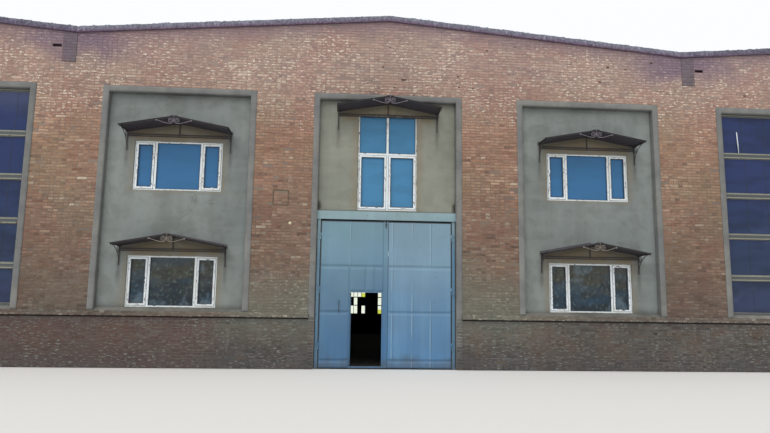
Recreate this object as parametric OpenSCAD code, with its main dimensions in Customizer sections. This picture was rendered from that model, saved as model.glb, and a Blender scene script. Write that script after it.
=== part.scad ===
// Brick factory building. A gabled hall three bays wide stands between one bay of each
// neighbouring hall, so the parapet runs down to a valley on both sides and up again.
// Width runs along X, depth along Y with the front at the low end, height along Z.

/* [Bays] */
// Pitch of the bays along the front
bay_w = 5500; // [5200:50:6200]
// Pitch of the columns through the depth
bay_d = 5500; // [4800:50:6500]
// Bays through the depth
depth_bays = 4; // [3:1:6]

/* [Walls] */
// Thickness of the front and back walls
wall_t = 510; // [450:10:640]
// Thickness of the end walls
party_t = 380; // [250:10:510]
// Thickness of the rendered infill walls
infill_t = 250; // [200:10:280]
// Set-back of the infill walls from the brick face
recess_d = 150; // [120:5:165]
// Height of the opening heads
head_z = 7080; // [7000:10:7300]
// Height of the brickwork at the valleys
valley_z = 8640; // [8500:10:9000]
// Rise of the brickwork from valley to ridge
ridge_rise = 690; // [500:10:1000]
// Thickness of the parapet coping
coping_h = 150; // [80:5:200]
// Overhang of the coping past the wall faces
coping_over = 60; // [30:5:100]

/* [Facade relief] */
// Height of the underside of the string course
course_z = 1270; // [1150:10:1300]
// Depth of the string course face
course_h = 130; // [90:5:150]
// Projection of the string course
course_out = 60; // [40:5:90]
// Bevel under the nose of the string course
nose_bevel = 15; // [5:1:25]
// Fall of the weathered top of the string course
course_fall = 25; // [10:1:40]
// Rise of the sloping sills above the string course
sill_rise = 80; // [40:5:85]
// Width of the rendered band round each opening
band_w = 150; // [100:5:200]
// Projection of the rendered band
band_out = 15; // [8:1:30]
// Width of the rendered pad below each valley
pad_w = 360; // [250:10:450]
// Height of the rendered pad below each valley
pad_h = 800; // [500:10:1000]
// Drop of the pad's top below the brickwork at the valley
pad_drop = 10; // [5:1:60]
// Width of the putlog hole beside each pad
hole_w = 240; // [120:10:260]
// Height of the putlog hole
hole_h = 80; // [60:5:120]
// Depth of the putlog hole
hole_d = 120; // [60:5:200]
// Distance from the pad to the putlog hole
hole_gap = 30; // [10:5:100]

/* [Openings] */
// Width of the three middle openings
opening_w = 3675; // [3600:25:3900]
// Width of the hall window openings at both ends
end_opening_w = 3340; // [3000:20:3600]

/* [Office windows] */
// Width of the three-light windows
win_w = 2270; // [2100:10:2400]
// Height of the three-light windows
win_h = 1305; // [1150:5:1350]
// Sill height of the lower windows
win_low_z = 1490; // [1488:2:1600]
// Sill height of the upper windows
win_high_z = 4500; // [4450:10:4600]
// Glass width of the side lights
side_glass_w = 345; // [280:5:400]
// Width of the window over the gate
mid_win_w = 1590; // [1450:10:1700]
// Gap between the gate's lintel and the window over it
mid_sill_gap = 47; // [40:1:60]
// Distance from the head of the window over the gate to the opening head
mid_head_gap = 373; // [360:1:400]
// Height of the transom above that window's sill
transom_z = 1530; // [1400:10:1650]
// Set-back of the window frames from the render
win_set = 40; // [20:5:80]
// Depth of the frame profile
frame_d = 70; // [55:5:85]
// Face width of the frame profile
frame_f = 45; // [40:1:60]
// Face width of the sash profile
sash_f = 60; // [45:1:70]
// Width of the mullions
mullion_w = 70; // [55:1:90]
// Projection of the sashes from the frame
sash_out = 12; // [6:1:20]
// Thickness of the glass
glass_t = 6; // [4:1:10]

/* [Hall windows] */
// Depth of the hall window frames
hall_frame_d = 80; // [60:5:100]
// Face width of the hall window frames
hall_frame_f = 60; // [45:5:80]
// Height of the transoms of the front hall windows
hall_rail_h = 150; // [100:5:170]
// Pitch of those transoms
hall_rail_pitch = 1135; // [1000:5:1150]
// Number of transoms
hall_rails = 4; // [2:1:4]
// Width of the middle mullion of the front hall windows
hall_mullion_w = 80; // [60:5:120]
// Set-back of the hall windows from the brick face
hall_set = 100; // [80:5:150]
// Sill height of the back windows
back_sill_z = 1130; // [1000:10:1300]
// Width of the bars of the back windows
back_bar_w = 60; // [40:5:90]
// Columns of lights in a back window
back_cols = 3; // [2:1:4]
// Rows of lights in a back window
back_rows = 3; // [2:1:4]

/* [Canopies] */
// Width of the canopy frames
canopy_w = 2700; // [2500:20:2900]
// Projection of the canopy frames from the render
canopy_out = 690; // [500:10:800]
// Rise from the eaves to the ridge of a canopy
canopy_rise = 250; // [150:5:270]
// Height of the canopy eaves above the side window heads
canopy_gap = 245; // [200:5:260]
// Height of the canopy eaves above the middle window head
mid_canopy_gap = 80; // [75:1:90]
// Drop of the upper wall rail below the eaves
rail_drop = 60; // [45:5:90]
// Length of the wall legs of the brackets
leg_l = 510; // [400:10:600]
// Side of the square tube
tube = 25; // [16:1:30]
// Thickness of the canopy sheet
sheet_t = 4; // [2:1:6]
// Overhang of the sheet past the frame
sheet_over = 30; // [10:5:60]
// Height of the ribs of the sheet
rib_h = 12; // [6:1:20]
// Pitch of the ribs
rib_pitch = 110; // [90:5:160]
// Width of a rib at its foot
rib_foot = 36; // [24:2:50]
// Width of a rib at its top
rib_top = 18; // [10:1:22]
// Width of the folded cap over the ridge
cap_w = 180; // [120:10:260]
// Bedding gap between a sheet or slab and what carries it
seat_gap = 0.3; // [0.2:0.1:0.8]
// Face width of the bar the scrolls are bent from
scroll_bar = 12; // [10:1:16]
// Thickness of the scrolls
scroll_t = 8; // [4:1:12]
// Outer radius of a scroll
scroll_r = 78; // [60:1:85]
// Turns of a scroll
scroll_turns = 1.75; // [1.5:0.25:2]
// Distance from the ridge to the scroll centres
scroll_drop = 120; // [100:5:140]
// Radius of the eye of a scroll or curl
eye_r = 16; // [10:1:24]
// Distance from the middle of the ornament to its scrolls
scroll_gap = 4; // [1:1:4]
// Height of the collar that ties the scrolls
collar_h = 30; // [20:2:40]
// Length of a scroll's tail
tail_l = 350; // [300:10:400]
// Rise of a scroll's tail
tail_rise = 84; // [60:2:90]
// Radius of the disc at the tip of a tail
tip_r = 22; // [14:1:24]
// Face width of the brace of a bracket
brace_w = 16; // [12:1:20]
// Outer radius of the curl inside a bracket
curl_r = 90; // [88:1:94]
// Face width of the bar of that curl
curl_w = 10; // [8:1:14]

/* [Gate] */
// Height of the gate opening
gate_h = 3840; // [3700:10:3860]
// Height of the steel lintel
lintel_h = 220; // [160:5:225]
// Set-back of the gate leaves from the brick face
gate_set = 100; // [80:5:110]
// Projection of the lintel from the leaves
lintel_out = 40; // [20:5:60]
// Depth of the steel jambs and lintel
jamb_d = 80; // [70:5:100]
// Face width of the steel jambs
jamb_f = 100; // [80:5:120]
// Wall of the steel jambs and lintel
steel_t = 6; // [4:1:10]
// Clearance round the leaves
leaf_gap = 10; // [8:1:15]
// Gap between the leaves and the lintel
head_gap = 35; // [20:5:60]
// Height of the leaves above the ground
leaf_z = 20; // [10:5:30]
// Thickness of the leaf sheets
skin_t = 3; // [2:1:5]
// Depth of the leaf frame bars
bar_d = 50; // [40:5:60]
// Face width of the leaf frame bars
bar_f = 50; // [40:5:70]
// Position of the meeting joint right of the centreline
joint_x = 50; // [40:1:60]
// Width of the cover strip at the meeting joint
strip_w = 115; // [80:5:130]
// Thickness of the cover strip
strip_t = 6; // [3:1:10]
// Radius of the drop bolt on the strip
bolt_r = 9; // [6:1:12]
// Clearance of the drop bolt from the strip
bolt_clear = 2; // [1:0.5:4]
// Length of the drop bolt
bolt_l = 140; // [110:5:180]
// Thickness of the drop bolt's guides
guide_t = 4; // [3:1:6]
// Clearance between the gate's back and the floor
tongue_gap = 10; // [5:1:20]
// Heights of the sheet seams above the ground
seam_z = [200, 1420, 2600]; // [150:10:3000]
// Face width of the seam laps
lap_w = 36; // [20:2:60]
// Projection of the seam laps
lap_t = 2; // [1:0.5:4]
// Distances of the pressed folds from the meeting joint
fold_x = [105, 635, 1115]; // [90:5:1500]
// Distances of the upright seams over the wicket from its right edge
head_seam_x = [185, 425, 830]; // [100:5:860]
// Projection of the pressed folds
fold_out = 5; // [3:1:9]
// Face width of the pressed folds
fold_w = 16; // [10:1:24]

/* [Gate hinges] */
// Radius of the hinge knuckles
knuckle_r = 14; // [12:1:18]
// Radius of the hinge pins
pin_r = 8; // [6:0.5:10]
// Running clearance between pin and bore
pin_fit = 0.3; // [0.2:0.1:0.5]
// Height of one knuckle
knuckle_h = 90; // [60:5:120]
// Clearance between the two knuckles of a hinge
knuckle_gap = 5; // [5:1:8]
// Clearance between the knuckles and the leaf
knuckle_clear = 5; // [4.5:0.1:5.5]
// Length of the hinge straps on the leaves
strap_l = 320; // [200:10:450]
// Thickness of the hinge straps
strap_t = 8; // [6:1:11]
// Heights of the gate hinges above the ground
hinge_z = [480, 1900, 3300]; // [300:10:3500]

/* [Wicket] */
// Width of the wicket opening in the left leaf
wicket_w = 830; // [750:10:860]
// Height of the top of the wicket opening
wicket_top = 1935; // [1850:5:2000]
// Height of the sill of the wicket opening
wicket_z = 62; // [60:1:80]
// Width of the stile between the wicket and the joint
wicket_stile = 150; // [142:2:160]
// Clearance round the wicket door
wicket_gap = 8; // [7:1:9]
// Depth of the wicket door's frame bars
wicket_bar = 30; // [25:1:36]
// Face width of the flat trim round the wicket
trim_w = 25; // [15:1:30]
// Thickness of that trim
trim_t = 4; // [2:1:5]
// How far the wicket door stands open
wicket_open = 105; // [90:1:115]
// Heights of the wicket hinges above the ground
wicket_hinge_z = [300, 1600]; // [150:10:1700]
// Distance from the wicket opening to its hinge axis
wicket_offset = 20; // [19:0.5:22]
// Radius of the wicket's hinge knuckles
wicket_knuckle_r = 12; // [10:0.5:13]
// Radius of the wicket's hinge pins
wicket_pin_r = 6; // [5:0.5:8]
// Height of one knuckle of the wicket
wicket_knuckle_h = 60; // [40:5:80]
// Width of the plate that carries a wicket pin
wicket_plate_w = 30; // [24:2:32]
// Reach of a wicket hinge strap past the opening's edge
wicket_strap_l = 90; // [70:5:120]
// Thickness of a wicket hinge strap
wicket_strap_t = 8; // [6:1:10]
// Distance from the door's edge to the foot of the strap
strap_foot = 10; // [8:1:14]

/* [Roof and floors] */
// Drop from the brick parapet top to the roof surface
upstand = 230; // [150:10:300]
// Thickness of the roof slabs
roof_t = 200; // [120:10:250]
// Width of the valley gutters
gutter_w = 500; // [400:10:700]
// Thickness of the gutter walls
gutter_t = 60; // [40:5:80]
// Depth of the girders where they meet the columns
girder_end = 700; // [500:10:760]
// Clearance between girder ends that share a column
end_gap = 20; // [10:5:40]
// Width of the girder flanges
flange_w = 300; // [240:10:400]
// Depth of the girder flanges
flange_h = 140; // [100:10:180]
// Thickness of the girder webs
web_t = 110; // [80:5:160]
// Side of the square hall columns
column_w = 400; // [350:10:500]
// Height of the ground floor slab
floor_h = 40; // [30:2:44]
// Height of the upper floor's surface
upper_z = 4090; // [4070:5:4110]
// Thickness of the upper floor
upper_t = 200; // [160:5:205]
// Depth of the beam under the upper floor's edge
edge_beam_h = 400; // [300:10:500]
// Width of the edge beam and of its posts
edge_beam_w = 250; // [200:10:300]

/* [Hidden] */
$fn = 48;

// The hall is three bays wide and one bay of the next hall follows on each side.
half_span = 1.5 * bay_w;
end_x = 2.5 * bay_w;
hall_d = depth_bays * bay_d;
slope = ridge_rise / half_span;
dado_z = course_z + course_h;
sill_z = dado_z + sill_rise;
half_open = opening_w / 2;
inner_y = hall_d - wall_t;
infill_back = recess_d + infill_t;
// Overshoot that carries a cut clear of the faces it passes.
cut = 1;
brick = "indianred";
render = "darkgray";

// Height of the brickwork at a place across the front, less a drop.
function top_z(x, drop = 0) = valley_z + slope * abs(abs(x) - half_span) - drop;

// The parapet line from one x to another, through the valleys and the ridge.
function skyline(x0, x1, drop = 0) = [
    for (x = [x0, -half_span, 0, half_span, x1])
        if (x >= x0 && x <= x1) [x, top_z(x, drop)]
];

// Reverses a list of points.
function reversed(v) = [for (i = [len(v) - 1:-1:0]) v[i]];

// Puts the middle of the footprint over the origin.
module placed() {
    translate([0, -hall_d / 2, 0]) children();
}

// A box given by its low and high corners.
module block(low, high) {
    translate(low) cube(high - low);
}

// Raises an outline drawn in width and height between two depths.
module upright(y0, y1) {
    translate([0, y1, 0]) rotate([90, 0, 0]) linear_extrude(y1 - y0) children();
}

// Runs an outline drawn in depth and height between two places across the width.
module across(x0, x1) {
    translate([x0, 0, 0]) rotate([90, 0, 90]) linear_extrude(x1 - x0) children();
}

module mirrored_pair() {
    children();
    mirror([1, 0, 0]) children();
}

// Brickwork beside the gate: the dado and the piers between the openings.
module front_piers() {
    difference() {
        block([half_open, 0, 0], [end_x, wall_t, head_z]);
        block([bay_w - half_open, -cut, dado_z], [bay_w + half_open, wall_t + cut, head_z + cut]);
        block([2 * bay_w - end_opening_w / 2, -cut, dado_z],
              [2 * bay_w + end_opening_w / 2, wall_t + cut, head_z + cut]);
    }
}

module front_wall_left() {
    color(brick) placed() mirror([1, 0, 0]) front_piers();
}

module front_wall_right() {
    color(brick) placed() front_piers();
}

// Places where the parapet line is broken, so that walls and copings share one line.
wall_breaks = [end_x - party_t - coping_over, end_x - party_t, end_x, end_x + coping_over];
parapet_breaks = concat(reversed(-wall_breaks), [-half_span, 0, half_span], wall_breaks);

module gable_outline() {
    line = [for (x = parapet_breaks) if (abs(x) <= end_x) [x, top_z(x)]];
    polygon(concat([[-end_x, head_z], [end_x, head_z]], reversed(line)));
}

// Middle of the rendered pad below a valley.
pad_x = half_span + pad_w / 2;
pad_top = valley_z - pad_drop;

module front_gable() {
    hole_x = pad_x + pad_w / 2 + hole_gap;
    hole_z = pad_top - pad_h / 2;
    color(brick) placed() difference() {
        upright(0, wall_t) gable_outline();
        mirrored_pair()
            block([hole_x, -cut, hole_z], [hole_x + hole_w, hole_d, hole_z + hole_h]);
    }
}

// Rendered wall that closes an old opening, with holes for its windows.
module infill(x, low_z, holes) {
    color(render) placed() difference() {
        block([x - half_open, recess_d, low_z], [x + half_open, infill_back, head_z]);
        for (h = holes)
            block([x - h[0] / 2, recess_d - cut, h[1]],
                  [x + h[0] / 2, infill_back + cut, h[1] + h[2]]);
    }
}

side_holes = [[win_w, win_low_z, win_h], [win_w, win_high_z, win_h]];
// The window over the gate stands between the lintel and the opening head.
mid_win_z = gate_h + lintel_h + mid_sill_gap;
mid_win_h = head_z - mid_head_gap - mid_win_z;

module left_infill_wall() {
    infill(-bay_w, dado_z, side_holes);
}

module right_infill_wall() {
    infill(bay_w, dado_z, side_holes);
}

// The wall over the gate also comes down behind the steel lintel.
module centre_infill_wall() {
    infill(0, gate_h + lintel_h, [[mid_win_w, mid_win_z, mid_win_h]]);
    color(render) placed()
        block([-half_open, gate_set + jamb_d, gate_h],
              [half_open, infill_back, gate_h + lintel_h]);
}

// Rendered band on the brick face round one opening.
module surround(x, width, low_z) {
    upright(-band_out, 0) translate([x, 0]) difference() {
        translate([-width / 2 - band_w, low_z]) square([width + 2 * band_w, head_z + band_w - low_z]);
        translate([-width / 2, low_z - cut]) square([width, head_z + cut - low_z]);
    }
}

module opening_surrounds() {
    color(render) placed() {
        surround(0, opening_w, floor_h);
        for (s = [-1, 1]) {
            surround(s * bay_w, opening_w, dado_z);
            surround(s * 2 * bay_w, end_opening_w, dado_z);
        }
    }
}

// Moulded ledge over the dado: a square nose with a weathered top.
module string_course() {
    color(render) placed() mirrored_pair()
        across(half_open + band_w, end_x)
            polygon([[0, course_z], [nose_bevel - course_out, course_z],
                     [-course_out, course_z + nose_bevel], [-course_out, dado_z - course_fall],
                     [0, dado_z]]);
}

// Cross-section of a deep sill bed, weathered up to the window's set-back.
function sill_bed(z) = [[0, z - sill_rise], [hall_set, z], [wall_t, z], [wall_t, z - sill_rise]];

// Sloping sills: wedges before the infill walls, deep beds under the hall windows.
module opening_sills() {
    color(render) placed() {
        mirrored_pair() {
            across(bay_w - half_open, bay_w + half_open)
                polygon([[0, dado_z], [recess_d, sill_z], [recess_d, dado_z]]);
            across(2 * bay_w - end_opening_w / 2, 2 * bay_w + end_opening_w / 2)
                polygon(sill_bed(sill_z));
        }
        for (i = [-2:2])
            translate([i * bay_w, hall_d, 0]) mirror([0, 1, 0])
                across(-back_open(i) / 2, back_open(i) / 2) polygon(sill_bed(back_sill_z));
    }
}

module valley_pads() {
    color(render) placed() mirrored_pair()
        block([pad_x - pad_w / 2, -band_out, pad_top - pad_h], [pad_x + pad_w / 2, 0, pad_top]);
}

// Width of the back opening in each bay, counted from the middle.
function back_open(i) = abs(i) == 2 ? end_opening_w : opening_w;

module back_wall() {
    color(brick) placed() difference() {
        block([-end_x, inner_y, 0], [end_x, hall_d, head_z]);
        for (i = [-2:2])
            block([i * bay_w - back_open(i) / 2, inner_y - cut, back_sill_z - sill_rise],
                  [i * bay_w + back_open(i) / 2, hall_d + cut, head_z + cut]);
    }
}

module back_gable() {
    color(brick) placed() upright(inner_y, hall_d) gable_outline();
}

module party_wall() {
    inner_x = end_x - party_t;
    upright(wall_t, inner_y)
        polygon([[inner_x, 0], [end_x, 0], [end_x, top_z(end_x)], [inner_x, top_z(inner_x)]]);
}

module left_party_wall() {
    color(brick) placed() mirror([1, 0, 0]) party_wall();
}

module right_party_wall() {
    color(brick) placed() party_wall();
}

// Coping that follows the parapet line through the given places, between two depths.
module coping_run(places, y0, y1) {
    low = [for (x = places) [x, top_z(x)]];
    high = [for (x = places) [x, top_z(x) + coping_h]];
    upright(y0, y1) polygon(concat(low, reversed(high)));
}

module gable_coping(y0, y1) {
    color("dimgray") placed() coping_run(parapet_breaks, y0, y1);
}

module front_coping() {
    gable_coping(-coping_over, wall_t + coping_over);
}

module back_coping() {
    gable_coping(inner_y - coping_over, hall_d + coping_over);
}

module party_copings() {
    color("dimgray") placed() mirrored_pair()
        coping_run(wall_breaks, wall_t + coping_over, inner_y - coping_over);
}

// One roof slab between two places across the width, through the whole depth.
module roof_slab(x0, x1) {
    line = skyline(x0, x1, upstand);
    under = skyline(x0, x1, upstand + roof_t);
    color("slategray") placed() upright(wall_t, inner_y) polygon(concat(under, reversed(line)));
}

gutter_half = gutter_w / 2;

module centre_roof() {
    roof_slab(-half_span + gutter_half, half_span - gutter_half);
}

module wing_roofs() {
    roof_slab(half_span + gutter_half, end_x - party_t);
    roof_slab(-end_x + party_t, -half_span - gutter_half);
}

// Trough between two slopes, seated on the girder ends.
module valley_gutters() {
    rim = top_z(half_span - gutter_half, upstand);
    bed_z = valley_z - upstand - roof_t;
    color("gray") placed() mirrored_pair() upright(wall_t, inner_y)
        polygon([[half_span - gutter_half, bed_z], [half_span + gutter_half, bed_z],
                 [half_span + gutter_half, rim], [half_span + gutter_half - gutter_t, rim],
                 [half_span + gutter_half - gutter_t, bed_z + gutter_t],
                 [half_span - gutter_half + gutter_t, bed_z + gutter_t],
                 [half_span - gutter_half + gutter_t, rim], [half_span - gutter_half, rim]]);
}

// Height of the girder tops and of the column heads.
girder_drop = upstand + roof_t;
slab_drop = girder_drop + seat_gap;
column_top = valley_z - girder_drop - girder_end;

// Outline of a girder between two places, its top a given drop under the parapet line.
module girder_outline(x0, x1, top_drop, low_z) {
    polygon(concat([[x0, low_z], [x1, low_z]], reversed(skyline(x0, x1, top_drop))));
}

// Flat top of a girder where the gutter crosses it.
module gutter_seat(y) {
    block([half_span - gutter_half, y - flange_w, valley_z - girder_drop],
          [half_span + gutter_half, y + flange_w, valley_z]);
}

module girder(x0, x1, y) {
    difference() {
        union() {
            upright(y - web_t / 2, y + web_t / 2) girder_outline(x0, x1, slab_drop, column_top);
            block([x0, y - flange_w / 2, column_top], [x1, y + flange_w / 2, column_top + flange_h]);
            upright(y - flange_w / 2, y + flange_w / 2) difference() {
                girder_outline(x0, x1, slab_drop, column_top);
                girder_outline(x0 - cut, x1 + cut, slab_drop + flange_h, column_top - cut);
            }
        }
        mirrored_pair() gutter_seat(y);
    }
}

module roof_girders() {
    reach = half_span - end_gap / 2;
    color("silver") placed() for (k = [1:depth_bays - 1]) girder(-reach, reach, k * bay_d);
}

module wing_girders() {
    color("silver") placed() mirrored_pair() for (k = [1:depth_bays - 1])
        girder(half_span + end_gap / 2, end_x - party_t, k * bay_d);
}

module hall_columns() {
    half = column_w / 2;
    color("silver") placed() mirrored_pair() for (k = [1:depth_bays - 1])
        block([half_span - half, k * bay_d - half, floor_h],
              [half_span + half, k * bay_d + half, column_top]);
}

// Ground floor between the walls, with a tongue in the gateway.
module floor_slab() {
    color("gray") placed() {
        block([-end_x + party_t, wall_t, 0], [end_x - party_t, inner_y, floor_h]);
        block([-half_open, gate_set + jamb_d + tongue_gap, 0], [half_open, wall_t, floor_h]);
    }
}

// Upper floor over the first bay, from the front wall to the first columns.
upper_x = half_span - column_w / 2;

module upper_floor() {
    color("gray") placed()
        block([-upper_x, wall_t, upper_z - upper_t], [upper_x, bay_d, upper_z]);
}

module upper_floor_frame() {
    beam_top = upper_z - upper_t;
    half = edge_beam_w / 2;
    color("silver") placed() {
        block([-upper_x, bay_d - edge_beam_w, beam_top - edge_beam_h], [upper_x, bay_d, beam_top]);
        for (s = [-1, 1])
            block([s * bay_w / 2 - half, bay_d - edge_beam_w, floor_h],
                  [s * bay_w / 2 + half, bay_d, beam_top - edge_beam_h]);
    }
}

// A rectangular ring, as a sash: outer size, face width, and its low and high depth.
module ring_frame(x0, z0, w, h, face, y0, y1) {
    upright(y0, y1) difference() {
        translate([x0, z0]) square([w, h]);
        translate([x0 + face, z0 + face]) square([w - 2 * face, h - 2 * face]);
    }
}

// The frame and sash faces meet at this margin from the outside of a window.
sash_margin = frame_f + sash_f;
side_light_w = side_glass_w + 2 * sash_f;

// Glass openings of a three-light window: left edge, low edge, width and height.
function triple_lights() = let(centre_w = win_w - 2 * (frame_f + side_light_w + mullion_w)) [
    [-win_w / 2 + sash_margin, sash_margin, side_glass_w, win_h - 2 * sash_margin],
    [-centre_w / 2, frame_f, centre_w, win_h - 2 * frame_f],
    [win_w / 2 - sash_margin - side_glass_w, sash_margin, side_glass_w, win_h - 2 * sash_margin]
];

// Glass openings of the window over the gate: two fixed lights above two sashes.
function mid_lights() = let(
    half_w = (mid_win_w - 2 * frame_f - mullion_w) / 2,
    low_h = transom_z - frame_f - mullion_w / 2,
    high_z = transom_z + mullion_w / 2
) [for (s = [0, 1]) each let(x = -mid_win_w / 2 + frame_f + s * (half_w + mullion_w)) [
    [x + sash_f, frame_f + sash_f, half_w - 2 * sash_f, low_h - 2 * sash_f],
    [x, high_z, half_w, mid_win_h - frame_f - high_z]
]];

// Frame of a window: the face is pierced by its lights, and sashes stand proud of it.
module window_frame(w, h, lights, sashes) {
    upright(0, frame_d) difference() {
        translate([-w / 2, 0]) square([w, h]);
        for (g = lights) translate([g[0], g[1]]) square([g[2], g[3]]);
    }
    for (g = sashes)
        ring_frame(g[0] - sash_f, g[1] - sash_f, g[2] + 2 * sash_f, g[3] + 2 * sash_f,
                   sash_f, -sash_out, 0);
}

module window_panes(lights) {
    for (g = lights)
        block([g[0], (frame_d - glass_t) / 2, g[1]],
              [g[0] + g[2], (frame_d + glass_t) / 2, g[1] + g[3]]);
}

win_y = recess_d + win_set;

module triple_frame(x, z) {
    lights = triple_lights();
    color("white") placed() translate([x, win_y, z])
        window_frame(win_w, win_h, lights, [lights[0], lights[2]]);
}

module window_upper_left() {
    triple_frame(-bay_w, win_high_z);
}

module window_lower_left() {
    triple_frame(-bay_w, win_low_z);
}

module window_upper_right() {
    triple_frame(bay_w, win_high_z);
}

module window_lower_right() {
    triple_frame(bay_w, win_low_z);
}

module window_centre() {
    lights = mid_lights();
    color("white") placed() translate([0, win_y, mid_win_z])
        window_frame(mid_win_w, mid_win_h, lights, [lights[0], lights[2]]);
}

module office_window_glass() {
    color("lightblue", 0.5) placed() {
        for (x = [-bay_w, bay_w]) for (z = [win_low_z, win_high_z])
            translate([x, win_y, z]) window_panes(triple_lights());
        translate([0, win_y, mid_win_z]) window_panes(mid_lights());
    }
}

hall_win_h = head_z - sill_z;
hall_top_rail = head_z - sill_z - hall_frame_f;

// Lights of a front hall window: two columns between its transoms, from the head down.
function hall_lights(w) = let(light_w = (w - 2 * hall_frame_f - hall_mullion_w) / 2) [
    for (i = [0:hall_rails]) for (c = [0, 1])
        let(
            high = hall_top_rail - (i == 0 ? 0 : i * hall_rail_pitch + hall_rail_h / 2),
            low = i == hall_rails ? hall_frame_f
                  : hall_top_rail - (i + 1) * hall_rail_pitch + hall_rail_h / 2
        ) [-w / 2 + hall_frame_f + c * (light_w + hall_mullion_w), low, light_w, high - low]
];

// Lights of a back window, in equal columns and rows inside a steel frame.
back_win_h = head_z - back_sill_z;
function back_lights(w) = let(
    light_w = (w - 2 * hall_frame_f - (back_cols - 1) * back_bar_w) / back_cols,
    light_h = (back_win_h - 2 * hall_frame_f - (back_rows - 1) * back_bar_w) / back_rows
) [for (c = [0:back_cols - 1]) for (r = [0:back_rows - 1])
    [-w / 2 + hall_frame_f + c * (light_w + back_bar_w),
     hall_frame_f + r * (light_h + back_bar_w), light_w, light_h]];

// Flat frame of a tall window, pierced by its lights.
module tall_frame(w, h, lights) {
    upright(0, hall_frame_d) difference() {
        translate([-w / 2, 0]) square([w, h]);
        for (g = lights) translate([g[0], g[1]]) square([g[2], g[3]]);
    }
}

// Panes of a tall window in the middle of its frame.
module tall_panes(lights) {
    mid = hall_frame_d / 2;
    for (g = lights)
        block([g[0], mid - glass_t / 2, g[1]], [g[0] + g[2], mid + glass_t / 2, g[1] + g[3]]);
}

module hall_window_frames() {
    color("gainsboro") placed() for (s = [-1, 1])
        translate([s * 2 * bay_w, hall_set, sill_z])
            tall_frame(end_opening_w, hall_win_h, hall_lights(end_opening_w));
}

module hall_window_glass() {
    color("steelblue", 0.6) placed() for (s = [-1, 1])
        translate([s * 2 * bay_w, hall_set, sill_z]) tall_panes(hall_lights(end_opening_w));
}

// The back windows stand this far inside the outer brick face.
back_y = hall_d - hall_set - hall_frame_d;

module back_window_frames() {
    color("gray") placed() for (i = [-2:2])
        translate([i * bay_w, back_y, back_sill_z])
            tall_frame(back_open(i), back_win_h, back_lights(back_open(i)));
}

module back_window_glass() {
    color("steelblue", 0.6) placed() for (i = [-2:2])
        translate([i * bay_w, back_y, back_sill_z]) tall_panes(back_lights(back_open(i)));
}

canopy_pitch = atan(canopy_rise / (canopy_w / 2));
rafter = tube / cos(canopy_pitch);
upper_eaves = win_high_z + win_h + canopy_gap;
lower_eaves = win_low_z + win_h + canopy_gap;
mid_eaves = mid_win_z + mid_win_h + mid_canopy_gap;

// Chevron from eaves to ridge with an upright depth, its underside at the eaves height.
module chevron(half_w, depth, drop = 0) {
    edge = canopy_rise * (1 - half_w / (canopy_w / 2)) - drop;
    peak = canopy_rise - drop;
    polygon([[-half_w, edge], [0, peak], [half_w, edge],
             [half_w, edge + depth], [0, peak + depth], [-half_w, edge + depth]]);
}

// Bar bent along a quarter ellipse, from the front corner in to the foot of the leg.
module bracket_brace(reach, fall, width) {
    steps = 14;
    outer = [for (i = [0:steps]) let(a = 90 * i / steps) [-reach * (1 - sin(a)), -fall * (1 - cos(a))]];
    inner = [for (i = [0:steps]) let(a = 90 * i / steps)
        [-(reach + width) * (1 - sin(a)) + width, -(fall + width) * (1 - cos(a)) + width]];
    polygon(concat(outer, reversed(inner)));
}

// Outline of a bar of even width along a path.
function unit_normal(p, i) = let(
    a = p[max(i - 1, 0)], b = p[min(i + 1, len(p) - 1)], d = b - a
) [-d[1], d[0]] / norm(d);
function bar_outline(p, w) = concat(
    [for (i = [0:len(p) - 1]) p[i] + unit_normal(p, i) * w / 2],
    reversed([for (i = [0:len(p) - 1]) p[i] - unit_normal(p, i) * w / 2])
);

// Path of the curl in a bracket. It holds its radius from the brace past the leg to the rail,
// bedded a little into each, and then winds in to its eye.
curl_steps = 32;
curl_start = 220;
curl_held = 230;
curl_wound = 380;
curl_bed = curl_w / 4;
function curl_path() = [for (i = [0:curl_steps]) let(
    sweep = (curl_held + curl_wound) * i / curl_steps,
    r = curl_r - curl_w / 2 - (curl_r - eye_r) * max(sweep - curl_held, 0) / curl_wound
) [curl_bed - curl_r + r * cos(curl_start + sweep), curl_bed - curl_r + r * sin(curl_start + sweep)]];

// Welded canopy frame, at the wall face, with the eaves at height zero.
module canopy_frame() {
    half = canopy_w / 2;
    front = -canopy_out;
    low_rail = -rail_drop - 2 * tube;
    upright(-tube, 0) chevron(half, rafter, rafter);
    upright(front, front + tube) chevron(half, rafter, rafter);
    for (z = [-rail_drop, low_rail]) block([-half, -tube, z - tube], [half, 0, z]);
    block([-tube / 2, -tube, low_rail - tube / 2], [tube / 2, 0, canopy_rise - rafter / 2]);
    block([-tube / 2, front, canopy_rise - rafter - tube / 2],
          [tube / 2, 0, canopy_rise - rafter + tube / 2]);
    for (s = [-1, 1]) {
        inner_x = s < 0 ? -half : half - tube;
        block([inner_x, front, -rafter], [inner_x + tube, 0, tube - rafter]);
        block([inner_x, -tube, -leg_l], [inner_x + tube, 0, tube / 2 - rafter]);
        across(inner_x + tube / 4, inner_x + 3 * tube / 4) translate([-tube, -rafter]) {
            bracket_brace(canopy_out - 2 * tube, leg_l - rafter - tube, brace_w);
            polygon(bar_outline(curl_path(), curl_w));
        }
    }
}

module canopy_at(x, z) {
    placed() translate([x, recess_d, z]) children();
}

// Repeats a canopy piece over each office window and over the gate's window.
module at_canopies() {
    for (x = [-bay_w, bay_w]) for (z = [upper_eaves, lower_eaves]) canopy_at(x, z) children();
    canopy_at(0, mid_eaves) children();
}

module canopy_frames() {
    color("dimgray") at_canopies() canopy_frame();
}

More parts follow.
